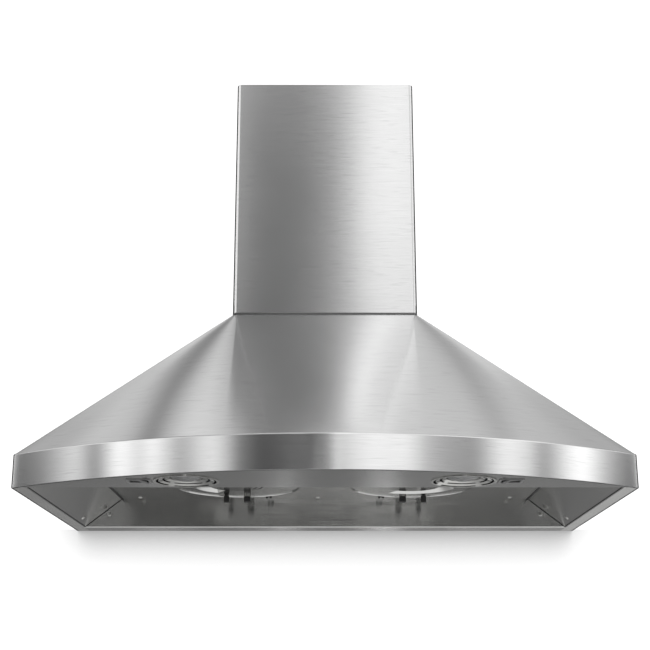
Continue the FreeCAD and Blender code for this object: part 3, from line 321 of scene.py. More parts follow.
SOFTBOX_SIZE = (3.0, 2.0)
SOFTBOX_POWER = 30
SOFTBOX_PLACE = (0.4, -3.2, 2.6)
SOFTBOX_TILT = 52
lamp_data = bpy.data.lights.new("front_softbox", "AREA")
lamp_data.shape = "RECTANGLE"
lamp_data.size, lamp_data.size_y = SOFTBOX_SIZE
lamp_data.energy = SOFTBOX_POWER
lamp_object = bpy.data.objects.new("front_softbox", lamp_data)
lamp_object.location = SOFTBOX_PLACE
lamp_object.rotation_euler = (math.radians(SOFTBOX_TILT), 0, 0)
lamp_object.visible_glossy = False
bpy.context.scene.collection.objects.link(lamp_object)


# Apron band
# The upright bowed band round the foot of the hood, one folded sheet of 1.2 mm brushed stainless.
# Its upper edge is rolled over into a ledge that carries the canopy. The grain runs along the band.
STAINLESS = (0.62, 0.62, 0.62)
LEVEL_GRAIN = (22.0, 22.0, 2200.0)
SCRATCH_DEPTH = 0.00003
CLOUD_SCALE = 9.0
CLOUD_GLOSS = 0.04
NOISE_MIDDLE = (0.3, 0.7)
NOISE_PEAKS = (0.66, 0.78)
SMEAR_AXIS = (0.0, 0.05, 1.0)
SHEET = 0.0012
BOW_RISE = 0.1462
CORNER_RADIUS = 0.008
LEDGE = 0.014
ROLLED_EDGE = 0.0024
ROLL_STEPS = 5
HEM_EDGE = 0.0005
CREASE_X = 0.132
CORNER_STEPS = 8
FLANK_STEPS = 40
MIDDLE_STEPS = 36
SHARP_FOLD = math.radians(60)
SMOOTH_BEND = math.radians(35)
FLAT_WEIGHT = 100
MERGE_DISTANCE = 0.00001
band_low, band_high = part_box("apron_band")
HALF_WIDTH = band_high.x
FRONT_Y = band_low.y
BAND_TOP = band_high.z
bow_radius = (HALF_WIDTH ** 2 + BOW_RISE ** 2) / (2 * BOW_RISE)
bow_centre_y = bow_radius + FRONT_Y


def start_finish(name, metallic=1.0):
    """A new material, with its shader and the place on the piece that its pattern follows."""
    material = bpy.data.materials.new(name)
    material.use_nodes = True
    tree = material.node_tree
    shader = tree.nodes["Principled BSDF"]
    shader.inputs["Metallic"].default_value = metallic
    return material, tree, shader, add_node(tree, "ShaderNodeTexCoord").outputs["Object"]


def add_noise(tree, place, scale, detail=2.0):
    """Cloudy noise, with scale saying how fast it changes."""
    noise = add_node(tree, "ShaderNodeTexNoise")
    noise.inputs["Scale"].default_value = scale
    noise.inputs["Detail"].default_value = detail
    tree.links.new(place, noise.inputs["Vector"])
    return noise.outputs["Fac"]


def spread_values(tree, source, low, high, start=0.0, end=1.0):
    """The part of a noise between start and end, spread over low to high."""
    node = add_node(tree, "ShaderNodeMapRange")
    node.inputs["From Min"].default_value = start
    node.inputs["From Max"].default_value = end
    node.inputs["To Min"].default_value = low
    node.inputs["To Max"].default_value = high
    tree.links.new(source, node.inputs["Value"])
    return node.outputs["Result"]


def vary_gloss(tree, shader, source, roughness, share, start=0.0, end=1.0):
    """Roughness that wanders by a share to each side."""
    gloss = spread_values(tree, source, roughness * (1 - share), roughness * (1 + share), start, end)
    tree.links.new(gloss, shader.inputs["Roughness"])


def vary_colour(tree, shader, colour, tone):
    """A colour made lighter and darker by a tone of about 1."""
    paint = add_node(tree, "ShaderNodeVectorMath", operation="SCALE")
    paint.inputs[0].default_value = colour
    tree.links.new(tone, paint.inputs["Scale"])
    tree.links.new(paint.outputs["Vector"], shader.inputs["Base Color"])


def raise_surface(tree, shader, height, depth, strength=1.0):
    """Fine relief of a depth."""
    bump = add_node(tree, "ShaderNodeBump")
    bump.inputs["Strength"].default_value = strength
    bump.inputs["Distance"].default_value = depth
    tree.links.new(height, bump.inputs["Height"])
    tree.links.new(bump.outputs["Normal"], shader.inputs["Normal"])


def brushed_steel(name, colour, roughness, grain, streaks=0.06, relief=0.3):
    """Brushed sheet, with grain saying how fast the fine scratches change along X, Y and Z."""
    material, tree, shader, place = start_finish(name)
    shader.inputs["Anisotropic"].default_value = 1.0
    fine = max(grain)
    layers = {}
    # Each layer of scratches, how much faster it changes along and across the grain, and its detail.
    for layer, along, across, detail in (
        ("relief", 0.35, 1.0, 0.0),
        ("tone", 1.0, 0.5, 2.0),
        ("streak", 1.6, 0.2, 0.0),
    ):
        stretch = add_node(tree, "ShaderNodeMapping")
        stretch.inputs["Scale"].default_value = tuple(
            value * (across if value == fine else along) for value in grain
        )
        tree.links.new(place, stretch.inputs["Vector"])
        layers[layer] = add_noise(tree, stretch.outputs["Vector"], 1.0, detail)
    vary_gloss(tree, shader, add_noise(tree, place, CLOUD_SCALE), roughness, CLOUD_GLOSS, *NOISE_MIDDLE)
    # A few scratches stand out darker than the rest.
    sheen = add_node(tree, "ShaderNodeMath", operation="MULTIPLY_ADD")
    sheen.inputs[1].default_value = -streaks
    tree.links.new(spread_values(tree, layers["streak"], 0.0, 1.0, *NOISE_PEAKS), sheen.inputs[0])
    tone = spread_values(tree, layers["tone"], 1 - streaks / 2, 1 + streaks / 2, *NOISE_MIDDLE)
    tree.links.new(tone, sheen.inputs[2])
    vary_colour(tree, shader, colour, sheen.outputs[0])
    raise_surface(tree, shader, layers["relief"], relief * SCRATCH_DEPTH)
    # Reflections smear up and down, across the grain.
    smear = add_node(tree, "ShaderNodeCombineXYZ")
    for socket, share in zip(smear.inputs, SMEAR_AXIS):
        socket.default_value = share
    tree.links.new(smear.outputs[0], shader.inputs["Tangent"])
    return material


def start_piece(name):
    """A new empty piece at the origin, in edit mode."""
    bpy.ops.object.select_all(action="DESELECT")
    bpy.ops.mesh.primitive_plane_add(size=SHEET)
    piece = bpy.context.object
    piece.name = name
    piece.data.name = name
    bpy.ops.object.mode_set(mode="EDIT")
    bpy.ops.mesh.delete(type="VERT")
    return piece


def start_outline(x, y, z):
    """One loose corner, selected alone, from which an outline is drawn."""
    bpy.ops.mesh.select_all(action="DESELECT")
    bpy.ops.mesh.primitive_plane_add(size=SHEET)
    bpy.ops.mesh.merge(type="CENTER")
    bpy.ops.transform.translate(value=(x, y, z))


def draw_line(dx, dy, dz=0.0, steps=1):
    """Draws the outline on in a straight line."""
    step = (dx / steps, dy / steps, dz / steps)
    for _ in range(steps):
        bpy.ops.mesh.extrude_region_move(TRANSFORM_OT_translate={"value": step})


def draw_arc(centre_x, centre_y, angle, steps):
    """Draws the outline on round an upright axis, clockwise from above."""
    bpy.ops.mesh.spin(steps=steps, angle=angle, center=(centre_x, centre_y, 0), axis=(0, 0, 1))


def band_corner(inset):
    """Centre and turn of the right corner of the band's plan, drawn in by inset."""
    corner = max(CORNER_RADIUS - inset, SHEET)
    centre_x = HALF_WIDTH - inset - corner
    centre_y = bow_centre_y - math.sqrt((bow_radius - inset - corner) ** 2 - centre_x ** 2)
    return centre_x, centre_y, math.atan2(bow_centre_y - centre_y, centre_x)


def draw_band_plan(inset, z):
    """Right side, corner, bow, corner and left side, from the wall round to the wall."""
    centre_x, centre_y, turn = band_corner(inset)
    crease = math.acos(CREASE_X / bow_radius)
    start_outline(HALF_WIDTH - inset, 0, z)
    draw_line(0, centre_y)
    draw_arc(centre_x, centre_y, turn, CORNER_STEPS)
    draw_arc(0, bow_centre_y, crease - turn, FLANK_STEPS)
    draw_arc(0, bow_centre_y, math.pi - 2 * crease, MIDDLE_STEPS)
    draw_arc(0, bow_centre_y, crease - turn, FLANK_STEPS)
    draw_arc(-centre_x, centre_y, turn, CORNER_STEPS)
    draw_line(0, -centre_y)


def join_outlines(cuts=0):
    """Walls between the two outlines that have none yet."""
    bpy.ops.mesh.select_all(action="DESELECT")
    bpy.ops.mesh.select_non_manifold(
        extend=False, use_wire=True, use_boundary=False, use_multi_face=False,
        use_non_contiguous=False, use_verts=False,
    )
    bpy.ops.mesh.bridge_edge_loops(number_cuts=cuts, interpolation="LINEAR")


def finish_sheet(piece, material, thickness=SHEET, edge=HEM_EDGE):
    """Gives a drawn skin its thickness inwards, and softens the cut edges of the sheet."""
    bpy.ops.mesh.select_all(action="SELECT")
    bpy.ops.mesh.remove_doubles(threshold=MERGE_DISTANCE)
    bpy.ops.mesh.normals_make_consistent(inside=False)
    bpy.ops.object.mode_set(mode="OBJECT")
    sheet = piece.modifiers.new("sheet", "SOLIDIFY")
    sheet.thickness = thickness
    sheet.offset = -1
    sheet.use_even_offset = True
    bpy.ops.object.modifier_apply(modifier="sheet")
    rim = piece.modifiers.new("rim", "BEVEL")
    rim.width = edge
    rim.segments = 2
    rim.angle_limit = SHARP_FOLD
    rim.use_clamp_overlap = True
    bpy.ops.object.modifier_apply(modifier="rim")
    finish_piece(piece, material)


def finish_piece(piece, material):
    """Smooth shading round gentle bends, flat faces kept flat, and the finish."""
    bpy.ops.object.select_all(action="DESELECT")
    piece.select_set(True)
    bpy.context.view_layer.objects.active = piece
    bpy.ops.object.shade_smooth_by_angle(angle=SMOOTH_BEND)
    flat = piece.modifiers.new("flat", "WEIGHTED_NORMAL")
    flat.keep_sharp = True
    flat.weight = FLAT_WEIGHT
    bpy.ops.object.modifier_apply(modifier="flat")
    piece.data.materials.clear()
    piece.data.materials.append(material)


brushed_stainless = brushed_steel("brushed_stainless", STAINLESS, roughness=0.14, grain=LEVEL_GRAIN)
band = start_piece("band_skin")
draw_band_plan(0, 0)
draw_band_plan(0, BAND_TOP)
join_outlines()
draw_band_plan(0, BAND_TOP)
draw_band_plan(LEDGE, BAND_TOP)
join_outlines()
bpy.ops.mesh.select_all(action="SELECT")
bpy.ops.mesh.remove_doubles(threshold=MERGE_DISTANCE)
bpy.ops.mesh.select_all(action="DESELECT")
bpy.ops.mesh.edges_select_sharp(sharpness=SHARP_FOLD)
bpy.ops.mesh.bevel(offset=ROLLED_EDGE, segments=ROLL_STEPS, affect="EDGES")
finish_sheet(band, brushed_stainless)
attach(band, "root")
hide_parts("apron_band")


# Canopy
# The sloped skin over the band: a front bent from the bow to the flat flue, two flanks and two flat sides.
# It is welded from brushed sheet, and its seams run from the band's corners to the flue's.
CANOPY_STEP = 0.0026
CANOPY_CUTS = 20
FLUE_CORNER = 0.008
canopy_low, canopy_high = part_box("canopy_shell")
flue_low, flue_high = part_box("chimney_cover")
FLUE_HALF = flue_high.x
FLUE_FRONT = flue_low.y
bend_x = FLUE_HALF - FLUE_CORNER
bend_y = FLUE_FRONT + FLUE_CORNER


def draw_flue_plan(z, turn):
    """The flue's outline from wall to wall, with as many corners as the band's."""
    start_outline(FLUE_HALF, 0, z)
    draw_line(0, bend_y)
    draw_arc(bend_x, bend_y, turn, CORNER_STEPS)
    draw_arc(bend_x, bend_y, math.pi / 2 - turn, FLANK_STEPS)
    draw_line(-2 * bend_x, 0, steps=MIDDLE_STEPS)
    draw_arc(-bend_x, bend_y, math.pi / 2 - turn, FLANK_STEPS)
    draw_arc(-bend_x, bend_y, turn, CORNER_STEPS)
    draw_line(0, -bend_y)


canopy_stainless = brushed_steel("canopy_stainless", STAINLESS, roughness=0.1, grain=LEVEL_GRAIN)
canopy = start_piece("canopy_skin")
draw_band_plan(CANOPY_STEP, canopy_low.z)
draw_flue_plan(canopy_high.z, band_corner(CANOPY_STEP)[-1])
join_outlines(cuts=CANOPY_CUTS)
finish_sheet(canopy, canopy_stainless)
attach(canopy, "root")
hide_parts("canopy_shell")


# Flue cover
# A folded U of brushed sheet with a rounded bend at each front corner and a lip at each rear edge.
# It slips over the upstand on the top plate and is screwed to a bracket near the ceiling.
LIP = 0.018
BEND_STEPS = 10
flue = start_piece("flue_skin")
start_outline(FLUE_HALF - LIP, 0, flue_low.z)
draw_line(LIP, 0)
draw_line(0, bend_y)
draw_arc(bend_x, bend_y, math.pi / 2, BEND_STEPS)
draw_line(-2 * bend_x, 0)
draw_arc(-bend_x, bend_y, math.pi / 2, BEND_STEPS)
draw_line(0, -bend_y)
draw_line(LIP, 0)
bpy.ops.mesh.select_all(action="SELECT")
bpy.ops.mesh.extrude_region_move(TRANSFORM_OT_translate={"value": (0, 0, flue_high.z - flue_low.z)})
finish_sheet(flue, brushed_stainless)
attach(flue, "root")
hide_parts("chimney_cover")


# Top plate
# The folded stainless plate that closes the canopy under the flue, with an upstand round which the
# flue cover slips. The flue hides most of it. Its sheet is rougher and a darker grey than the canopy's;
# the dark grey is painted shade for the gap line under the flue cover.
TOP_PLATE_SHADE = (0.3, 0.3, 0.3)
MILL_GRAIN = (40.0, 40.0, 900.0)


def dress(names, material):
    """Gives carried-over nodes their finish."""
    for name in names:
        nodes[name].data.materials.clear()
        nodes[name].data.materials.append(material)


# A darker grey that paints the shadow in the gap at the flue cover's foot.
shaded_top_stainless = brushed_steel("shaded_top_stainless", TOP_PLATE_SHADE, roughness=0.45, grain=MILL_GRAIN, streaks=0.1)
dress(["top_plate"], shaded_top_stainless)


# Recess panels
# The underside is lined with the same brushed sheet: the bowed lamp panel, the recess plate, the rear
# liner and a sloped liner each side. The grain runs from left to right, and the sheet is a shade warmer.
LINER = (0.55, 0.55, 0.54)
LINER_GRAIN = (22.0, 2200.0, 2200.0)
panel_stainless = brushed_steel("panel_stainless", LINER, roughness=0.1, grain=LINER_GRAIN)
liner_stainless = brushed_steel("liner_stainless", LINER, roughness=0.14, grain=LINER_GRAIN, relief=1.2)
slope_stainless = brushed_steel("slope_stainless", LINER, roughness=0.22, grain=LINER_GRAIN)
dress(["lamp_panel", "ceiling_panel"], panel_stainless)
dress(["side_liner_left", "side_liner_right"], slope_stainless)
dress(["back_liner"], liner_stainless)


# Painted shade lines
# Black strips lie in the 3 mm gap between the recess plate and each sloped liner, as painted shade in that
# gap.
# Thin black beads paint lines of shade down each corner where a sloped liner meets the rear one, along the
# sloped liner's fold and round the band's lower edge.
SHADE_BLACK = (0.012, 0.012, 0.012)
GAP = 0.003
STRIP = 0.001
BEAD = 0.0007
BEAD_SIDES = 10
EDGE_BEAD_WIDTH = 0.0018
EDGE_BEAD_DEPTH = 0.0003
FOLD_REACH = 0.0018
FOLD_HEIGHT = 0.0008
PLATE_BACK = -0.048
FOOT_HEIGHT = 0.002
SKIN_SCALE = 1800.0
MOTTLE_SCALE = 160.0
MOTTLE = 0.25
SKIN_DEPTH = 0.0001
plate_low, plate_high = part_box("ceiling_panel")
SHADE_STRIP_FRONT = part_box("side_liner_right")[0].y + STRIP
FOOT_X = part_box("back_liner")[1].x


def moulded_plastic(name, colour, roughness, relief=0.15):
    """Moulded rubber or plastic with a fine, uneven skin."""
    material, tree, shader, place = start_finish(name, metallic=0.0)
    skin = add_noise(tree, place, SKIN_SCALE)
    vary_gloss(tree, shader, add_noise(tree, place, MOTTLE_SCALE), roughness, MOTTLE)
    vary_colour(tree, shader, colour, spread_values(tree, skin, 1 - MOTTLE, 1 + MOTTLE))
    raise_surface(tree, shader, skin, SKIN_DEPTH, relief)
    return material


def add_block(low, high):
    """A block between two corners, in the piece that is being edited."""
    middle = (Vector(low) + Vector(high)) / 2
    bpy.ops.mesh.select_all(action="DESELECT")
    bpy.ops.mesh.primitive_cube_add(size=1, location=middle)
    span = Vector(high) - Vector(low)
    bpy.ops.transform.resize(value=span, center_override=middle)


# A flat black that stands in for shade: it paints the dark gap and fold lines of the underside.
painted_shade_black = moulded_plastic("painted_shade_black", SHADE_BLACK, roughness=0.7)


def make_shade_bead(name, foot, run, turn=(0, 0, 0)):
    """A round black bead that paints a line of shade, running from its foot, where its round end is turned to
    face along it.
    """
    piece = start_piece(name)
    bpy.ops.mesh.select_all(action="DESELECT")
    bpy.ops.mesh.primitive_circle_add(
        vertices=BEAD_SIDES, radius=BEAD, fill_type="NGON", location=foot, rotation=turn
    )
    bpy.ops.mesh.extrude_region_move(TRANSFORM_OT_translate={"value": run})
    bpy.ops.mesh.select_all(action="SELECT")
    bpy.ops.mesh.normals_make_consistent(inside=False)
    bpy.ops.object.mode_set(mode="OBJECT")
    finish_piece(piece, painted_shade_black)
    return piece


# Painted shade: a thin black ring under the band's lower edge draws the shadow gap between band and lamp
# panel.
edge_shade_line = start_piece("edge_shade_line")
draw_band_plan(SHEET, -EDGE_BEAD_DEPTH)
draw_band_plan(SHEET + EDGE_BEAD_WIDTH, -EDGE_BEAD_DEPTH)
join_outlines()
finish_sheet(edge_shade_line, painted_shade_black, EDGE_BEAD_DEPTH, EDGE_BEAD_DEPTH / 3)
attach(edge_shade_line, "root")
slope_top_x = plate_high.x + GAP
foot_x = FOOT_X - (FOOT_X - slope_top_x) * FOOT_HEIGHT / plate_low.z
for side, sign in (("left", -1), ("right", 1)):
    # Painted shade: a black strip fills each plate gap, and black beads draw the shade lines down the rear
    # corner and along the fold.
    shade_strip = start_piece("plate_shade_strip_" + side)
    near, far = sorted((sign * (plate_high.x - STRIP), sign * slope_top_x))
    add_block((near, SHADE_STRIP_FRONT, plate_low.z - STRIP), (far, PLATE_BACK, plate_low.z))
    bpy.ops.mesh.select_all(action="SELECT")
    bpy.ops.mesh.bevel(offset=STRIP / 5, segments=2, affect="EDGES")
    bpy.ops.object.mode_set(mode="OBJECT")
    finish_piece(shade_strip, painted_shade_black)
    foot = Vector((sign * (foot_x - BEAD), PLATE_BACK - BEAD / 2, FOOT_HEIGHT))
    head = Vector((sign * (slope_top_x - BEAD), PLATE_BACK - BEAD / 2, plate_low.z))
    corner_shade_line = make_shade_bead("corner_shade_line_" + side, foot, head - foot)
    fold = Vector((sign * (FOOT_X - FOLD_REACH), PLATE_BACK, FOLD_HEIGHT))
    along_fold = Vector((0, SHADE_STRIP_FRONT - PLATE_BACK, 0))
    fold_shade_line = make_shade_bead("fold_shade_line_" + side, fold, along_fold, turn=(math.pi / 2, 0, 0))
    for piece in (shade_strip, corner_shade_line, fold_shade_line):
        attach(piece, "root")


# Inlet covers
# A round cover pressed from the same sheet shields each blower. It has a deep curved groove round four
# rings of slots, and its rim bead seats on the recess plate. It comes down once its knobs are turned.
cover_stainless = brushed_steel("cover_stainless", LINER, roughness=0.1, grain=LINER_GRAIN)
dress(["inlet_cover_left", "inlet_cover_right"], cover_stainless)


# Knobs, collars and clips
# Black glass-filled nylon: a round knob and a square one hold each cover, on zinc spacers, and a small
# arched clip stands beside its rim. The mouldings have rounded edges and a satin skin.
NYLON = (0.02, 0.02, 0.02)
SPACER = (0.45, 0.45, 0.44)
CLOUD_TO_GRAIN = 12
CAST_CLOUDS = (0.25, 0.75)
TONE_SPREAD = 0.12
GLOSS_SPREAD = 0.25
CAST_DEPTH = 0.0002


def cast_metal(name, colour, roughness, grain, relief=0.2):
    """Plain metal with cloudy tone and a fine uneven surface: plated, cast, spun or rolled."""
    material, tree, shader, place = start_finish(name)
    skin = add_noise(tree, place, grain, detail=4.0)
    clouds = add_noise(tree, place, grain / CLOUD_TO_GRAIN)
    tone = spread_values(tree, clouds, 1 - TONE_SPREAD, 1 + TONE_SPREAD, *CAST_CLOUDS)
    vary_colour(tree, shader, colour, tone)
    vary_gloss(tree, shader, skin, roughness, GLOSS_SPREAD)
    raise_surface(tree, shader, skin, CAST_DEPTH, relief)
    return material


satin_nylon = moulded_plastic("satin_nylon", NYLON, roughness=0.38)
zinc_spacer = cast_metal("zinc_spacer", SPACER, roughness=0.35, grain=900.0)
dress(["outer_knob_left", "inner_knob_left", "outer_knob_right", "inner_knob_right"], satin_nylon)
dress(["rim_clips"], satin_nylon)
dress(["knob_collar_left", "knob_collar_right"], zinc_spacer)


# Screws
# Zinc-plated steel pan-head screws with a cross recess and a rolled thread hold the recess plate, the
# liners, the flue cover and the motors. One screw of each length is made, then copied to its places.
ZINC = (0.46, 0.46, 0.45)
HEAD_RADIUS = 0.0038
HEAD_HEIGHT = 0.0015
HEAD_PROFILE = ((0, 1), (0.45, 1), (0.75, 0.8), (0.93, 0.45), (1, 0.15), (1, 0))
SHANK_RADIUS = 0.0019
THREAD_PITCH = 0.0008
THREAD_DEPTH = 0.00025
THREADED_SHARE = 0.85
RECESS_WIDTH = 0.0008
RECESS_DEPTH = 0.0009
RECESS_REACH = 0.55
TURNED_STEPS = 28
zinc_steel = cast_metal("zinc_steel", ZINC, roughness=0.28, grain=1200.0, relief=0.1)


def turn_profile(name, profile, steps):
    """A turned piece, left in edit mode: (radius, height) corners spun once round an upright axis."""
    piece = start_piece(name)
    start_outline(profile[0][0], 0, profile[0][1])
    for (radius, height), (next_radius, next_height) in zip(profile, profile[1:]):
        draw_line(next_radius - radius, 0, next_height - height)
    bpy.ops.mesh.select_all(action="SELECT")
    bpy.ops.mesh.spin(steps=steps, angle=2 * math.pi, center=(0, 0, 0), axis=(0, 0, 1))
    bpy.ops.mesh.select_all(action="SELECT")
    bpy.ops.mesh.remove_doubles(threshold=MERGE_DISTANCE)
    bpy.ops.mesh.normals_make_consistent(inside=False)
    return piece


def make_screw(length, head_radius=HEAD_RADIUS, head_height=HEAD_HEIGHT):
    """A pan-head screw at the origin, head down, seated at Z = 0."""
    profile = [(head_radius * outwards, -head_height * drop) for outwards, drop in HEAD_PROFILE]
    height = 0.0
    while height + THREAD_PITCH < length * THREADED_SHARE:
        profile += [(SHANK_RADIUS - THREAD_DEPTH, height), (SHANK_RADIUS, height + THREAD_PITCH / 2)]
        height += THREAD_PITCH
    profile += [(SHANK_RADIUS - THREAD_DEPTH, height), (SHANK_RADIUS / 2, length), (0, length)]
    screw = turn_profile("screw", profile, TURNED_STEPS)
    bpy.ops.object.mode_set(mode="OBJECT")
    cutter = start_piece("cross")
    reach = head_radius * RECESS_REACH
    below = -head_height * 2
    bottom = -head_height + RECESS_DEPTH
    add_block((-reach, -RECESS_WIDTH / 2, below), (reach, RECESS_WIDTH / 2, bottom))
    add_block((-RECESS_WIDTH / 2, -reach, below), (RECESS_WIDTH / 2, reach, bottom))
    bpy.ops.object.mode_set(mode="OBJECT")
    recess = screw.modifiers.new("recess", "BOOLEAN")
    recess.operation = "DIFFERENCE"
    recess.object = cutter
    recess.use_self = True
    bpy.context.view_layer.objects.active = screw
    bpy.ops.object.modifier_apply(modifier="recess")
    bpy.data.objects.remove(cutter)
    finish_piece(screw, zinc_steel)
    return screw


def place_screws(name, screw, places):
    """Copies of a screw, each with its seat at a point and its head facing a direction, as one piece."""
    copies = []
    for place, facing in places:
        bpy.ops.object.select_all(action="DESELECT")
        screw.select_set(True)
        bpy.context.view_layer.objects.active = screw
        bpy.ops.object.duplicate(linked=False)
        copy = bpy.context.object
        copy.location = place
        copy.rotation_euler = Vector(facing).to_track_quat("-Z", "Y").to_euler()
        copies.append(copy)
    bpy.data.objects.remove(screw)
    for copy in copies:
        copy.select_set(True)
    bpy.context.view_layer.objects.active = copies[0]
    bpy.ops.object.join()
    piece = bpy.context.object
    bpy.ops.object.transform_apply(location=True, rotation=True, scale=True)
    piece.name = name + "_heads"
    piece.data.name = piece.name
    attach(piece, "root")
    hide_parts(name)


# The recess plate's screws stand in two rows of three, and its corner ones set the node's box.
PLATE_SCREW_LENGTH = 0.008
MIDDLE_SCREW_X = -0.013
plate_screw_low, plate_screw_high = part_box("ceiling_screws")
plate_x = plate_screw_high.x - HEAD_RADIUS
rows_y = (plate_screw_low.y + HEAD_RADIUS, plate_screw_high.y - HEAD_RADIUS)
places = []
for y in rows_y:
    for x in (-plate_x, MIDDLE_SCREW_X, plate_x):
        places.append(((x, y, plate_low.z), (0, 0, -1)))
place_screws("ceiling_screws", make_screw(PLATE_SCREW_LENGTH), places)

# One screw holds each sloped liner at its foot, and one the rear liner beside it.
LINER_SCREW_LENGTH = 0.005
SLOPE_PLACE = (0.4238, -0.11, 0.008)
SLOPE_FACING = (0.616, 0, 0.788)
REAR_PLACE = (0.39, PLATE_BACK, 0.024)
places = []
for sign in (-1, 1):
    slope_facing = (-sign * SLOPE_FACING[0], 0, -SLOPE_FACING[2])
    places.append(((sign * SLOPE_PLACE[0], SLOPE_PLACE[1], SLOPE_PLACE[2]), slope_facing))
    places.append(((sign * REAR_PLACE[0], REAR_PLACE[1], REAR_PLACE[2]), (0, -1, 0)))
place_screws("liner_screws", make_screw(LINER_SCREW_LENGTH), places)

# One larger screw in each side of the flue cover.
FLUE_SCREW_LENGTH = 0.006
FLUE_HEAD_RADIUS = 0.004
FLUE_HEAD_HEIGHT = 0.0016
flue_screw_low, flue_screw_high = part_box("chimney_screws")
flue_screw_y = (flue_screw_low.y + flue_screw_high.y) / 2
flue_screw_z = (flue_screw_low.z + flue_screw_high.z) / 2
places = [((sign * FLUE_HALF, flue_screw_y, flue_screw_z), (sign, 0, 0)) for sign in (-1, 1)]
place_screws("chimney_screws", make_screw(FLUE_SCREW_LENGTH, FLUE_HEAD_RADIUS, FLUE_HEAD_HEIGHT), places)

# Three screws on top of each motor's bracket, one in each of its ears.
MOTOR_SCREW_LENGTH = 0.005
BLOWER_X = 0.147
BLOWER_Y = -0.193
EAR_RADIUS = 0.059
EAR_TURNS = (0, 120, 240)
BRACKET_TOP = 0.14
places = []
for sign in (-1, 1):
    for turn in EAR_TURNS:
        ear_x = sign * (BLOWER_X + EAR_RADIUS * math.cos(math.radians(turn)))
        ear_y = BLOWER_Y + EAR_RADIUS * math.sin(math.radians(turn))
        places.append(((ear_x, ear_y, BRACKET_TOP), (0, 0, 1)))
place_screws("motor_screws", make_screw(MOTOR_SCREW_LENGTH), places)


# Lamps
# A halogen lamp sits in a pressed can behind each round trim. The trim is a slotted brushed ring, and the
# lens is thick frosted glass, bulged a little below the panel. The bulb is a clear capsule.
TRIM = (0.6, 0.6, 0.58)
TRIM_GRAIN = (40.0, 2200.0, 2200.0)
LENS = (0.92, 0.93, 0.93)
BULB = (0.95, 0.95, 0.92)
GLASS_IOR = 1.5
DIMPLE_SCALE = 420.0
FROST_SCALE = 90.0
FROST_SPREAD = 0.2
FROST_TONE = (0.95, 1.0)
RIPPLE_DEPTH = 0.0003


def lamp_glass(name, colour, roughness, clear, ripple):
    """Glass with a rippled surface, and frosting where it is less than clear."""
    material, tree, shader, place = start_finish(name, metallic=0.0)
    shader.inputs["Transmission Weight"].default_value = clear
    shader.inputs["IOR"].default_value = GLASS_IOR
    dimples = add_node(tree, "ShaderNodeTexVoronoi")
    dimples.inputs["Scale"].default_value = DIMPLE_SCALE
    tree.links.new(place, dimples.inputs["Vector"])
    clouds = add_noise(tree, place, FROST_SCALE)
    vary_gloss(tree, shader, clouds, roughness, FROST_SPREAD)
    vary_colour(tree, shader, colour, spread_values(tree, clouds, *FROST_TONE))
    raise_surface(tree, shader, dimples.outputs["Distance"], RIPPLE_DEPTH, ripple)
    return material


trim_stainless = brushed_steel("trim_stainless", TRIM, roughness=0.16, grain=TRIM_GRAIN)
frosted_lens = lamp_glass("frosted_lens", LENS, roughness=0.22, clear=0.8, ripple=0.3)
clear_bulb = lamp_glass("clear_bulb", BULB, roughness=0.03, clear=0.95, ripple=0.02)
dress(["lamp_trim_left", "lamp_trim_right"], trim_stainless)
dress(["lamp_lens_left", "lamp_lens_right"], frosted_lens)
dress(["lamp_bulb_left", "lamp_bulb_right"], clear_bulb)


# Switches
# A glossy black rocker in a snap-in grey bezel outboard of each lamp, with its matt black contact block
# behind the panel.
ROCKER = (0.025, 0.025, 0.027)
BEZEL = (0.2, 0.2, 0.2)
glossy_plastic = moulded_plastic("glossy_plastic", ROCKER, roughness=0.16, relief=0.03)
matt_plastic = moulded_plastic("matt_plastic", NYLON, roughness=0.55, relief=0.3)
grey_plastic = moulded_plastic("grey_plastic", BEZEL, roughness=0.3, relief=0.05)
dress(["switch_bezel_left", "switch_bezel_right"], grey_plastic)
dress(["switch_rocker_left", "switch_rocker_right"], glossy_plastic)
dress(["switch_body_left", "switch_body_right"], matt_plastic)


# Galvanised sheet
# Hot-dip galvanised steel with its leafy spangle: the back panel, the blower scrolls, the plenum and duct
# collar, the damper flaps, the brackets, the lamp cans and the wiring box.
GALVANISED = (0.58, 0.6, 0.61)
SPANGLE_SCALE = 140.0
WARP_SCALE = 160.0
WARP_SHARE = 0.006
SPANGLE_TONE = (0.78, 1.14)
SPANGLE_GLOSS = (0.26, 0.46)
SPANGLE_RELIEF = 0.15
SPANGLE_DEPTH = 0.0002


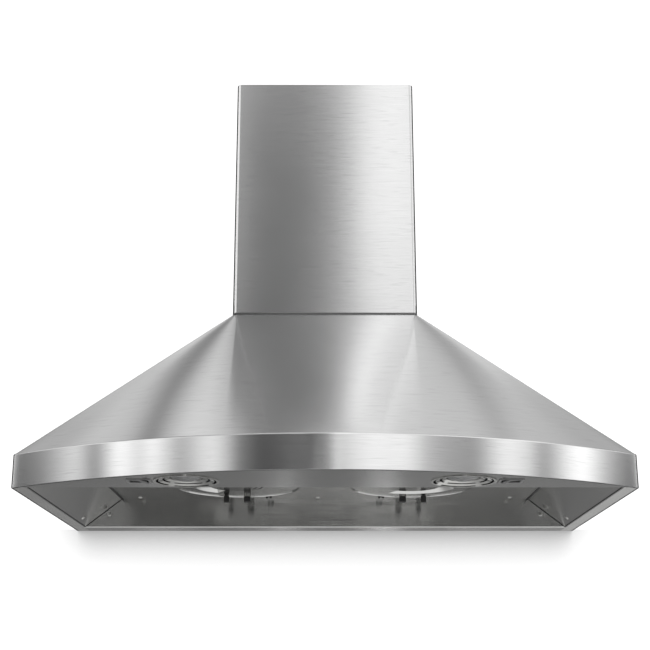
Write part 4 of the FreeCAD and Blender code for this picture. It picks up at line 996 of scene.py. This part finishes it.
def galvanised_sheet(name, colour):
    """Zinc crystals a few millimetres across, each with its own tone and gloss."""
    material, tree, shader, place = start_finish(name)
    warp = add_node(tree, "ShaderNodeTexNoise")
    warp.inputs["Scale"].default_value = WARP_SCALE
    tree.links.new(place, warp.inputs["Vector"])
    shifted = add_node(tree, "ShaderNodeMix", data_type="VECTOR")
    shifted.inputs["Factor"].default_value = WARP_SHARE
    tree.links.new(place, shifted.inputs["A"])
    tree.links.new(warp.outputs["Color"], shifted.inputs["B"])
    spangle = add_node(tree, "ShaderNodeTexVoronoi")
    spangle.inputs["Scale"].default_value = SPANGLE_SCALE
    tree.links.new(shifted.outputs["Result"], spangle.inputs["Vector"])
    crystal = add_node(tree, "ShaderNodeSeparateColor")
    tree.links.new(spangle.outputs["Color"], crystal.inputs["Color"])
    vary_colour(tree, shader, colour, spread_values(tree, crystal.outputs["Red"], *SPANGLE_TONE))
    tree.links.new(spread_values(tree, crystal.outputs["Green"], *SPANGLE_GLOSS), shader.inputs["Roughness"])
    raise_surface(tree, shader, crystal.outputs["Blue"], SPANGLE_DEPTH, SPANGLE_RELIEF)
    return material


spangled_zinc = galvanised_sheet("spangled_zinc", GALVANISED)
dress(["back_panel", "chimney_bracket", "junction_box", "junction_cover"], spangled_zinc)
dress(["exhaust_plenum", "duct_collar", "damper_flap_front", "damper_flap_rear"], spangled_zinc)
for side in ("left", "right"):
    dress(["blower_scroll_" + side, "motor_bracket_" + side, "lamp_can_" + side], spangled_zinc)


# Blowers
# Each blower has a cast aluminium motor with cooling ribs, a ground steel shaft and a wheel of thirty
# pressed aluminium blades between a back plate and a ring.
CASTING = (0.5, 0.51, 0.52)
WHEEL = (0.6, 0.61, 0.62)
motor_alloy = cast_metal("motor_alloy", CASTING, roughness=0.48, grain=700.0, relief=0.5)
wheel_alloy = cast_metal("wheel_alloy", WHEEL, roughness=0.3, grain=500.0)
ground_steel = cast_metal("ground_steel", ZINC, roughness=0.2, grain=1500.0, relief=0.05)
dress(["blower_motor_left", "blower_motor_right"], motor_alloy)
for side in ("left", "right"):
    dress(["impeller_plate_" + side, "impeller_ring_" + side, "impeller_blades_" + side], wheel_alloy)
    dress(["motor_shaft_" + side], ground_steel)


# Damper rod and cable gland
# The two damper flaps swing on a ground steel rod across the duct collar. Behind the hood the supply
# passes a black nylon gland in the back panel.
dress(["damper_rod"], ground_steel)
dress(["cable_gland"], satin_nylon)
